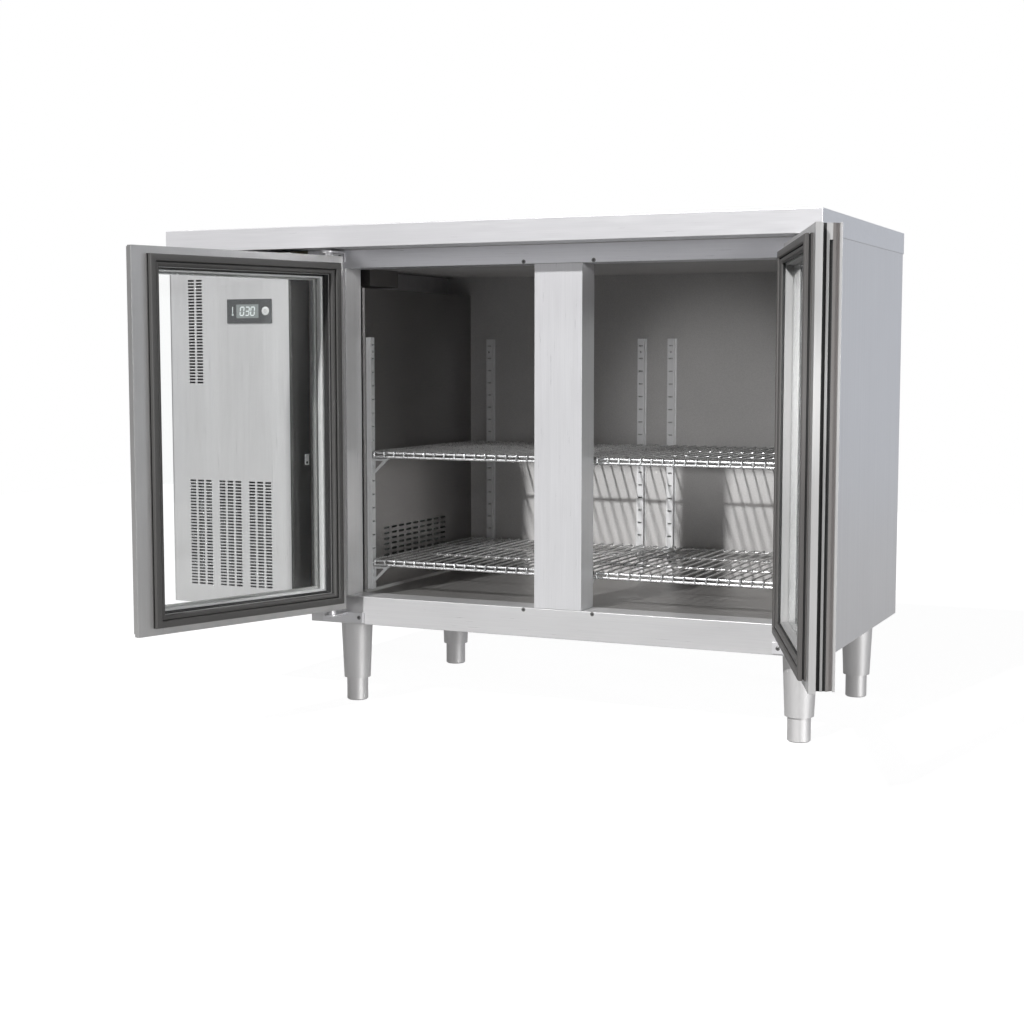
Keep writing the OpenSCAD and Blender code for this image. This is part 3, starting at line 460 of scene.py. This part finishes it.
wire_steel = grained("shelf_wire_coat", (0.6, 0.6, 0.6), 0.28, 0.85, 400.0, 0.06, 0.03)
leg_steel = brushed("leg_steel", (0.66, 0.652, 0.65), rough=0.5, metal=0.75)
foot_steel = brushed("foot_steel", (0.68, 0.67, 0.667), rough=0.5, metal=0.75)
hinge_steel = grained("hinge_steel", (0.78, 0.78, 0.78), 0.2, 1.0, 500.0, 0.05, 0.02)
screw_steel = grained("screw_steel", (0.7, 0.7, 0.7), 0.25, 1.0, 900.0, 0.06, 0.03)
# Darker copy of the screw steel for the frame's screws, painted shade
screw_painted_shade = grained("screw_painted_shade", (0.2, 0.198, 0.195), 0.35, 1.0, 900.0, 0.06, 0.03)
# Near-black for the screws' crossed recesses and the catch's keeper, painted shade
recess_painted_shade = grained("recess_painted_shade", (0.03, 0.03, 0.03), 0.6, 0.3, 900.0, 0.2, 0.05)
# The two doors' steel differs only in painted light: the left door's darker tone is painted shade, the right
# door's lighter one painted light
DOOR_SHADED_AND_LIT_TONES = {"left": (0.44, 0.435, 0.432), "right": (0.58, 0.575, 0.57)}
DOOR_ROUGH = 0.34
door_steel = {}
rail_steel = {}
for side, tone in DOOR_SHADED_AND_LIT_TONES.items():
    door_steel[side] = brushed("door_steel_" + side, tone, DOOR_ROUGH)
    rail_steel[side] = brushed("door_rail_" + side, tone, DOOR_ROUGH, along=0, turn=-door_turn(side))
glass = clear_glass("door_glass_clear")
spacer_strip = grained("spacer_strip", (0.6, 0.597, 0.6), 0.45, 0.2, 600.0, 0.06, 0.04)
# Light grey copy of the glazing seal for the right door, painted light
glazing_painted_light = grained("glazing_painted_light", (0.42, 0.415, 0.415), 0.6, 0.0, 700.0, 0.06, 0.03, gloss=0.2)
gasket_rubber = grained("gasket_rubber", (0.07, 0.068, 0.066), 0.5, 0.0, 1400.0, 0.15, 0.05)
# Lighter copy of the gasket rubber for the right door, painted light
gasket_painted_light = grained("gasket_painted_light", (0.11, 0.105, 0.102), 0.5, 0.0, 1400.0, 0.15, 0.05)
# Near-black sheet for the control panel's flank, painted shade
flank_painted_shade = grained("flank_painted_shade", (0.06, 0.058, 0.057), 0.5, 0.0, 1300.0, 0.15, 0.05, gloss=0.3)
ramp_plastic = grained("ramp_plastic", (0.27, 0.255, 0.25), 0.55, 0.0, 1400.0, 0.1, 0.05, gloss=0.2)
# Near-black rubber that stands in for shade in the gasket's folds, in the grooves of the doors' edges and on the
# left door's glazing seal: painted shade
rubber_painted_shade = grained("rubber_painted_shade", (0.012, 0.012, 0.012), 0.65, 0.0, 1400.0, 0.2, 0.05)
bezel_plastic = grained("bezel_plastic", (0.075, 0.077, 0.08), 0.4, 0.0, 1600.0, 0.12, 0.06)
lcd = grained("lcd_window", (0.26, 0.28, 0.28), 0.12, 0.0, 1800.0, 0.1, 0.0)
lcd_digit = grained("lcd_digit", (0.75, 0.8, 0.8), 0.4, 0.0, 1800.0, 0.05, 0.0)
button_plastic = grained("button_plastic", (0.62, 0.62, 0.62), 0.38, 0.0, 1500.0, 0.06, 0.05)
mark_grey = grained("mark_grey", (0.3, 0.3, 0.31), 0.5, 0.0, 1500.0, 0.08, 0.02)
foam = grained("rigid_foam", (0.72, 0.64, 0.42), 0.85, 0.0, 500.0, 0.12, 0.6)
fins = brushed("coil_fins", (0.62, 0.63, 0.64), rough=0.35, depth=0.12)
black_plastic = grained("black_plastic", (0.03, 0.03, 0.032), 0.45, 0.0, 1200.0, 0.2, 0.1)
motor_paint = grained("motor_paint", (0.028, 0.028, 0.03), 0.32, 0.0, 300.0, 0.15, 0.08)
mount_rubber = grained("mount_rubber", (0.022, 0.022, 0.022), 0.7, 0.0, 900.0, 0.2, 0.15)
copper = grained("copper_tube", (0.62, 0.3, 0.19), 0.3, 1.0, 120.0, 0.18, 0.03)

FINISHES = {
    "worktop": stainless_across,
    "top_rail": high_rail_painted_light,
    "bottom_rail": low_rail_painted_shade,
    "front_stiles": stile_painted_light,
    "control_panel": panel_steel,
    "right_side_panel": side_steel,
    "left_side_panel": side_steel,
    "evaporator_cover": cover_sheet,
    "liner_floor": floor_sheet,
    "pilasters": post_steel,
    "shelf_clips": post_steel,
    "hinge_brackets": stainless_across,
}
SLOT_FINISHES = {
    "stainless": stainless, "liner": liner, "foam": foam, "shelf_wire": wire_steel, "fins": fins,
    "black_plastic": black_plastic, "motor_paint": motor_paint, "mount_rubber": mount_rubber,
    "copper": copper, "controller_grey": bezel_plastic, "display_window": lcd,
    "button_grey": button_plastic, "leg_steel": leg_steel, "foot_steel": foot_steel,
    "hinge_steel": hinge_steel, "door_glass": glass, "spacer": spacer_strip, "gasket": gasket_rubber,
}
for side in ("left", "right"):
    FINISHES[side + "_door_rails"] = rail_steel[side]
    FINISHES[side + "_door_hinge_stile"] = door_steel[side]
    FINISHES[side + "_door_handle_stile"] = door_steel[side]
for part in frame["record"]["subparts"]:
    finish = FINISHES.get(part["node"]) or SLOT_FINISHES[part["material_slot"]]
    data = nodes[part["node"]].data
    data.materials.clear()
    data.materials.append(finish)

# Rounded edges on the sheet metal and the door frames, in millimetres

SOFT_EDGES = {"worktop": 1.6, "top_rail": 1.0, "bottom_rail": 1.0, "front_stiles": 1.0,
              "mullion": 1.4, "hinge_brackets": 0.6, "controller": 0.8, "electrical_box": 0.8}
for side in ("left", "right"):
    SOFT_EDGES[side + "_door_rails"] = 0.5
    SOFT_EDGES[side + "_door_hinge_stile"] = 0.5
    SOFT_EDGES[side + "_door_handle_stile"] = 0.4
for name, width in SOFT_EDGES.items():
    soften(name, width * MM)

# Strips on the doors, mitred at the corners. A profile runs from the outer side to the inner one, in
# millimetres: across the strip, and out from its base. The gasket has a flange, a magnet pocket and a
# sealing lip, and the stretches of its profile that lie in the folds are black, as painted shade. The glazing seal
# covers the wall between the pane and the door's inner face, and the light spacer bar keeps the panes apart.
GASKET_PROFILE = [(0.4, 0.0), (0.0, 0.6), (0.0, 2.4), (1.8, 2.9), (1.8, 4.9), (0.2, 5.4), (0.2, 8.6),
                  (0.7, 10.4), (1.6, 11.3), (2.8, 11.5), (9.6, 11.5), (10.6, 11.3), (11.3, 10.4),
                  (11.7, 8.6), (11.9, 5.6), (12.6, 5.6), (13.0, 7.6), (13.8, 8.3), (15.0, 8.3),
                  (17.6, 7.2), (19.2, 5.8), (19.9, 4.2), (20.0, 2.0), (19.6, 0.0)]
FLANGE_FOLD = {2, 3, 4}
LIP_FOLD = {13, 14, 15}
INNER_FOLD = {21, 22}
GASKET_SHADED_FOLDS = FLANGE_FOLD | LIP_FOLD | INNER_FOLD
SPACER_PROFILE = [(0.0, 0.0), (0.0, 11.6), (12.0, 11.6), (12.5, 11.1), (12.5, 0.5), (12.0, 0.0)]
SEAL_PROFILE = [(0.0, 0.0), (0.0, 10.4), (0.5, 10.7), (1.0, 10.2), (1.2, 8.0), (1.3, 3.0), (2.4, 1.2),
                (2.6, 0.0)]


def door_loop(side, name, profile, hinge_at, free_at, base_y, material, folds=()):
    """A strip round the door, further in on the handle's side. Folds are stretches of its profile coloured as
    painted shade.
    """
    points = []
    for across, out in profile:
        left = hinge_at + across * MM
        right = DOOR_W - free_at - across * MM
        high = DOOR_H - left
        y = base_y + out * MM
        points += [(left, y, left), (right, y, left), (right, y, high), (left, y, high)]
    matrix = door_matrix(side)
    points = [matrix @ Vector(point) for point in points]
    count = len(profile)
    faces = []
    tags = []
    for i in range(count):
        near, far = 4 * i, 4 * ((i + 1) % count)
        tags += [int(i in folds)] * 4
        for k in range(4):
            n = (k + 1) % 4
            faces.append([near + k, near + n, far + n, far + k])
    materials = [material, rubber_painted_shade] if folds else [material]
    piece = mesh_piece(side + name, points, faces, materials, side + "_door", tags, STRIP_SHARP_DEG)
    return piece


# Inlays of painted shade in the grooves of the handle's edge: each groove's sides from the inner face, its base
# and its face from the free edge, these in millimetres, and the height it leaves free at its top
SHADE_INLAYS = [(9.8, 16.7, 27.8, 20.4, 0.0), (20.2, 24.8, 27.8, 20.4, PLUG_H)]
INLAY_DISH = 0.8
# Outline of the strip on the finger ramp, in millimetres from the free edge and from the inner face
RAMP_STRIP = [(18.5, 24.8), (17.5, 24.8), (24.4, 33.5), (25.4, 33.5)]


def edge_strip(solid, side, outline, height):
    """An upright strip at the door's free edge. Its outline is measured as the inlays are."""
    placed = [(DOOR_W - across * MM, DOOR_T - deep * MM) for across, deep in outline]
    solid.prism(placed, height, door_matrix(side))


def edge_strips(side):
    """Black inlays with a dished face in the grooves of the door's free edge, as painted shade, and the strip on
    its ramp.
    """
    solid = Solid()
    for near, far, base, face, short in SHADE_INLAYS:
        middle, dish = (near + far) / 2, face + INLAY_DISH
        outline = [(base, near), (face, near), (dish, middle), (face, far), (base, far)]
        edge_strip(solid, side, outline, DOOR_H - short)
    solid.piece(side + "_groove_shade_inlays", [rubber_painted_shade], side + "_door")
    strip = Solid()
    edge_strip(strip, side, RAMP_STRIP, DOOR_H)
    strip.piece(side + "_ramp_strip", [ramp_plastic], side + "_door")


# The right door's gasket is a lighter copy in painted light. The glazing seal is black on the left door as painted
# shade and light grey on the right as painted light.
GASKETS = {"left": gasket_rubber, "right": gasket_painted_light}
GLAZING = {"left": rubber_painted_shade, "right": glazing_painted_light}
for side in ("left", "right"):
    ribbed = door_loop(side, "_gasket_ribbed", GASKET_PROFILE, GASKET_MARGIN, GASKET_FREE, DOOR_T,
                       GASKETS[side], folds=GASKET_SHADED_FOLDS)
    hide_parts(side + "_door_gasket")
    door_loop(side, "_glazing_seal", SEAL_PROFILE, BEAD, BEAD_FREE, PANE_Y, GLAZING[side])
    bar = door_loop(side, "_spacer_bar", SPACER_PROFILE, SPACER_IN, SPACER_FREE, SPACER_Y,
                    spacer_strip)
    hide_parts(side + "_door_spacer")
    edge_strips(side)

# Screws with a crossed recess in painted shade, the frame's screws darker as painted shade, and the bright catch
# on the control panel's side

SCREW_DOME = [(1.0, 0.0), (1.0, 0.35), (0.9, 0.7), (0.66, 0.92), (0.3, 1.0), (0.0, 1.0)]
CROSS_ARM = 0.55
CROSS_WIDTH = 0.13
CROSS_T = 0.03 * MM
THIN = 2 * MM


def screw(solid, place, normal, radius, height):
    """A domed head on a face, with a crossed recess."""
    at = facing(place, normal)
    solid.lathe([(r * radius, h * height) for r, h in SCREW_DOME], at)
    arm, half = CROSS_ARM * radius, CROSS_WIDTH * radius
    outline = [(arm, -half), (arm, half), (half, half), (half, arm), (-half, arm), (-half, half),
               (-arm, half), (-arm, -half), (-half, -half), (-half, -arm), (half, -arm), (half, -half)]
    solid.prism(outline, CROSS_T, at @ Matrix.Translation((0.0, 0.0, height)), 1)


screws = Solid()
catch_box = None
for low, high in islands("frame_screws"):
    middle = (low + high) / 2
    if high.y - low.y > THIN:
        catch_box = (low, high)
        continue
    outward = 1.0 if middle.y > 0 else -1.0
    seat_y = low.y if outward > 0 else high.y
    screw(screws, (middle.x, seat_y, middle.z), (0.0, outward, 0.0), (high.x - low.x) / 2, high.y - low.y)
screw_piece = screws.piece("frame_screws_crossed", [screw_painted_shade, recess_painted_shade], "cabinet")
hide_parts("frame_screws")

POST_SCREW = 2.4 * MM
POST_SCREW_TOP = 25.8 * MM
POST_SCREW_LOW = 37.2 * MM
POST_SCREW_H = 1 * MM
# A pilaster on a side wall stands on the right one from this X on
RIGHT_WALL_FROM = 0.3
posts = Solid()
for low, high in islands("pilasters"):
    middle = (low + high) / 2
    wide = high - low
    if wide.x > wide.y:
        normal = (0, 1, 0) if middle.y < 0 else (0, -1, 0)
        seat = (middle.x, high.y if middle.y < 0 else low.y)
    else:
        right = middle.x > RIGHT_WALL_FROM
        normal = (-1, 0, 0) if right else (1, 0, 0)
        seat = (low.x if right else high.x, middle.y)
    for z in (low.z + POST_SCREW_LOW, high.z - POST_SCREW_TOP):
        screw(posts, (*seat, z), normal, POST_SCREW, POST_SCREW_H)
posts.piece("pilaster_screws", [screw_steel, recess_painted_shade], "cabinet")


def rounded_box(solid, low, high, edge, tag=0):
    """A box whose edges are rounded on all sides."""
    block = bmesh.new()
    bmesh.ops.create_cube(block, size=1.0)
    bmesh.ops.scale(block, vec=high - low, verts=block.verts)
    bmesh.ops.translate(block, vec=(low + high) / 2, verts=block.verts)
    bmesh.ops.bevel(block, geom=block.edges[:], offset=edge, segments=3, profile=0.5, affect="EDGES")
    block.verts.index_update()
    points = [vert.co.copy() for vert in block.verts]
    faces = [[vert.index for vert in face.verts] for face in block.faces]
    solid.put(points, faces, tag=tag)
    block.free()


# The catch is a plate with a raised strike above and a keeper below in the black of painted recess shade
STRIKE_AT = 0.4
PLATE_BACK = 0.4 * MM
PLATE_EDGE = 0.9 * MM
STRIKE_IN = 2.4 * MM
STRIKE_EDGE = 0.5 * MM
KEEPER_BACK = 0.3 * MM
KEEPER_IN = 3 * MM
KEEPER_UP = 2 * MM
KEEPER_GAP = 1.2 * MM
KEEPER_EDGE = 0.3 * MM
catch = Solid()
low, high = catch_box
strike_z = low.z + STRIKE_AT * (high.z - low.z)
rounded_box(catch, low, high - Vector((PLATE_BACK, 0.0, 0.0)), PLATE_EDGE)
strike_low = Vector((low.x, low.y + STRIKE_IN, strike_z))
rounded_box(catch, strike_low, high - Vector((0.0, STRIKE_IN, STRIKE_IN)), STRIKE_EDGE)
keeper_high = Vector((high.x - KEEPER_BACK, high.y - KEEPER_IN, strike_z - KEEPER_GAP))
rounded_box(catch, low + Vector((0.0, KEEPER_IN, KEEPER_UP)), keeper_high, KEEPER_EDGE, 1)
catch.piece("panel_catch", [hinge_steel, recess_painted_shade], "cabinet")

# Dark strip on the control panel's flank, round its bend and back to the front frame: a sheet of painted shade
FLANK_OUT = 0.5 * MM
FLANK_T = 0.9 * MM
FLANK_IN = 1.5 * MM
PANEL_BEND = 6 * MM
BEND_ANGLE = math.radians(70)
BEND_STEPS = 8
low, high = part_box("control_panel")
end_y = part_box("front_stiles")[0].y
outside, inside = [], []
for i in range(BEND_STEPS + 1):
    angle = BEND_ANGLE * i / BEND_STEPS
    for arc, radius in ((outside, PANEL_BEND + FLANK_OUT), (inside, PANEL_BEND + FLANK_OUT - FLANK_T)):
        arc.append((high.x - PANEL_BEND + radius * math.cos(angle),
                    low.y + PANEL_BEND - radius * math.sin(angle)))
outline = [(inside[0][0], end_y)] + inside + outside[::-1] + [(outside[0][0], end_y)]
flank = Solid()
flank.prism(outline, high.z - low.z - 2 * FLANK_IN, Matrix.Translation((0.0, 0.0, low.z + FLANK_IN)))
flank.piece("panel_flank_shade_strip", [flank_painted_shade], "cabinet")

# Controller: display digits, an icon and the domed button

DIGITS = "030"
SEGMENTS = {"0": "abcdef", "3": "abcdg"}
DIGIT_W = 7.4 * MM
DIGIT_H = 14.5 * MM
DIGIT_STEP = 11 * MM
STROKE = 1.9 * MM
BAR_GAP = 0.25 * MM
SLANT = 0.1
MARK_T = 0.2 * MM


def digit_bars():
    """Centre, length and direction of each of a digit's bars."""
    half = DIGIT_H / 2
    w = DIGIT_W / 2
    return {
        "a": ((0.0, half), DIGIT_W, 0), "g": ((0.0, 0.0), DIGIT_W, 0), "d": ((0.0, -half), DIGIT_W, 0),
        "f": ((-w, half / 2), half, 1), "b": ((w, half / 2), half, 1),
        "e": ((-w, -half / 2), half, 1), "c": ((w, -half / 2), half, 1),
    }


def bar_outline(centre, length, upright):
    """A six-sided bar with pointed ends, leaning as the digits do."""
    reach, half = length / 2 - BAR_GAP, STROKE / 2
    outline = [(-reach, 0), (half - reach, -half), (reach - half, -half), (reach, 0), (reach - half, half),
               (half - reach, half)]
    if upright:
        outline = [(-y, x) for x, y in outline]
    moved = [(x + centre[0], y + centre[1]) for x, y in outline]
    return [(x + SLANT * y, y) for x, y in moved]


display_low, display_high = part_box("controller_display")
display_mid = (display_low + display_high) / 2
display_face = facing((display_mid.x, display_low.y, display_mid.z), (0, -1, 0))
bars = digit_bars()
marks = Solid()
for index, digit in enumerate(DIGITS):
    offset = (index - (len(DIGITS) - 1) / 2) * DIGIT_STEP
    for name in SEGMENTS[digit]:
        place = display_face @ Matrix.Translation((offset, 0.0, 0.0))
        marks.prism(bar_outline(*bars[name]), MARK_T, place)
marks.piece("display_digits", [lcd_digit], "cabinet")

ICON_X = -30.8 * MM
ICON_BULB = 1.9 * MM
ICON_STEM = 0.7 * MM
ICON_LOW = -6 * MM
ICON_HIGH = 8 * MM
icon = Solid()
icon_face = display_face @ Matrix.Translation((ICON_X, 0.0, 0.0))
bulb = [(ICON_BULB, 0.0), (ICON_BULB, MARK_T), (0.0, MARK_T)]
icon.lathe(bulb, icon_face @ Matrix.Translation((0.0, ICON_LOW, 0.0)), steps=24)
icon.prism([(-ICON_STEM, ICON_LOW), (ICON_STEM, ICON_LOW), (ICON_STEM, ICON_HIGH), (-ICON_STEM, ICON_HIGH)],
           MARK_T, icon_face)
icon.piece("thermometer_icon", [lcd_digit], "cabinet")

button_low, button_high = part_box("set_button")
button_mid = (button_low + button_high) / 2
button_r = (button_high.x - button_low.x) / 2
button_t = button_high.y - button_low.y
button_face = facing((button_mid.x, button_high.y, button_mid.z), (0, -1, 0))
BUTTON_PROFILE = [(0.0, 0.0), (1.0, 0.0), (1.0, 0.86), (0.95, 0.94), (0.86, 0.98), (0.7, 1.0), (0.5, 0.985),
                  (0.25, 0.972), (0.0, 0.968)]
button = Solid()
button.lathe([(r * button_r, h * button_t) for r, h in BUTTON_PROFILE], button_face, steps=48)
RING = [(0.38, 0.96), (0.38, 1.0), (0.24, 1.0), (0.24, 0.96), (0.38, 0.96)]
button.lathe([(r * button_r, h * button_t) for r, h in RING], button_face, tag=1, steps=40)
button_piece = button.piece("set_button_domed", [button_plastic, mark_grey], "set_button")
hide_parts("set_button")

# Stage, light and camera


def make_floor():
    """Pale floor that glows white to the camera and fainter in reflections, and still takes the shadow."""
    half = FLOOR_SIZE / 2
    corners = [(-half, -half, 0), (half, -half, 0), (half, half, 0), (-half, half, 0)]
    mesh = bpy.data.meshes.new("floor")
    mesh.from_pydata(corners, [], [(0, 1, 2, 3)])
    floor = bpy.data.objects.new("floor", mesh)
    floor.location.z = cad_low.z - FLOOR_DROP
    scene.collection.objects.link(floor)
    m = Shader("floor_pale")
    grain = m.noise(m.place(EVEN), FLOOR_GRAIN, detail=3.0)
    tone = (FLOOR_TONE,) * 3
    m.finish({
        "Base Color": m.mix(grain, shade(tone, 1 - FLOOR_DEPTH), shade(tone, 1 + FLOOR_DEPTH)),
        "Roughness": FLOOR_ROUGH,
        "Specular IOR Level": FLOOR_GLOSS,
    })
    path = m.add("ShaderNodeLightPath")
    seen = m.math("MAXIMUM", path.outputs["Is Camera Ray"], path.outputs["Is Transmission Ray"])
    shine = m.math("MULTIPLY", path.outputs["Is Glossy Ray"], FLOOR_SHINE)
    strength = m.math("MAXIMUM", m.math("MULTIPLY", seen, FLOOR_GLOW), shine)
    glow = m.add("ShaderNodeEmission", {"Strength": strength})
    both = m.add("ShaderNodeAddShader", {0: m.bsdf.outputs[0], 1: glow.outputs[0]})
    m.surface(both.outputs[0])
    mesh.materials.append(m.material)
    floor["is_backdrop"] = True


def make_world():
    """White to the camera, also through glass; tones by direction for reflections and for the even fill."""
    world = bpy.data.worlds.new("studio")
    world.use_nodes = True
    scene.world = world
    w = Nodes(world.node_tree)
    w.tree.nodes.clear()
    coords = w.add("ShaderNodeTexCoord").outputs["Generated"]

    def share(way, start, end, low=0.0, high=1.0):
        """From low to high as a direction turns towards a way."""
        along = w.add("ShaderNodeVectorMath", {0: coords, 1: way}, operation="DOT_PRODUCT").outputs["Value"]
        return w.span(along, low, high, start, end, interpolation_type="SMOOTHSTEP")

    tone = FRONT_TONE
    for way, ends, other in ((SIDE_WAY, SIDE_SPAN, SIDE_TONE), (LEFT_WAY, LEFT_SPAN, LEFT_TONE),
                             (TOP_WAY, TOP_SPAN, TOP_TONE)):
        tone = w.mix(share(way, *ends), tone, other)
    even = share(RIGHT_WAY, *RIGHT_SPAN, AMBIENT, AMBIENT + RIGHT_LIGHT)
    white = w.add("ShaderNodeBackground", {"Color": WHITE}).outputs[0]
    fill = w.add("ShaderNodeBackground", {"Color": WHITE, "Strength": even}).outputs[0]
    gloss = w.add("ShaderNodeBackground", {"Color": tone}).outputs[0]

    path = w.add("ShaderNodeLightPath")
    through = path.outputs["Is Transmission Ray"]
    bounces = w.math("ADD", path.outputs["Glossy Depth"], path.outputs["Diffuse Depth"])
    straight = w.math("MULTIPLY", through, w.math("LESS_THAN", bounces, ONE_BOUNCE / 2))
    seen = w.math("MAXIMUM", path.outputs["Is Camera Ray"], straight)
    shiny = w.math("MAXIMUM", path.outputs["Is Glossy Ray"], through)
    shown = w.join_shaders(seen, w.join_shaders(shiny, fill, gloss), white)
    w.add("ShaderNodeOutputWorld", {"Surface": shown})


def place_light(name, lamp, way):
    """A lamp that shines along a way."""
    light = bpy.data.objects.new(name, lamp)
    light.rotation_mode = "QUATERNION"
    light.rotation_quaternion = way.to_track_quat("-Z", "Y")
    scene.collection.objects.link(light)
    return light


def make_sun(name, way, power, spread):
    """A far lamp with parallel light."""
    lamp = bpy.data.lights.new(name, "SUN")
    lamp.energy = power
    lamp.angle = spread
    place_light(name, lamp, way)


def make_fill():
    """A soft pool of light from beside the camera into the right bay."""
    lamp = bpy.data.lights.new("fill", "SPOT")
    lamp.energy = FILL_POWER
    lamp.spot_size = FILL_CONE
    lamp.spot_blend = 1.0
    lamp.shadow_soft_size = FILL_RADIUS
    place_light("fill", lamp, FILL_TO - FILL_AT).location = FILL_AT


def make_camera():
    """The camera, in front of the part and to its right, looking a little down."""
    flat = math.cos(EYE_DIP)
    back = Vector((math.sin(EYE_TURN) * flat, -math.cos(EYE_TURN) * flat, math.sin(EYE_DIP)))
    data = bpy.data.cameras.new("camera")
    data.lens = LENS
    data.sensor_width = SENSOR
    camera = bpy.data.objects.new("camera", data)
    camera.location = EYE
    camera.rotation_mode = "QUATERNION"
    camera.rotation_quaternion = (-back).to_track_quat("-Z", "Y")
    scene.collection.objects.link(camera)
    scene.camera = camera


make_floor()
make_world()
make_sun("key", KEY_WAY, KEY_POWER, KEY_SPREAD)
make_sun("side_key", SIDE_KEY_WAY, SIDE_KEY_POWER, SIDE_KEY_SPREAD)
make_fill()
make_camera()

low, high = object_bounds()
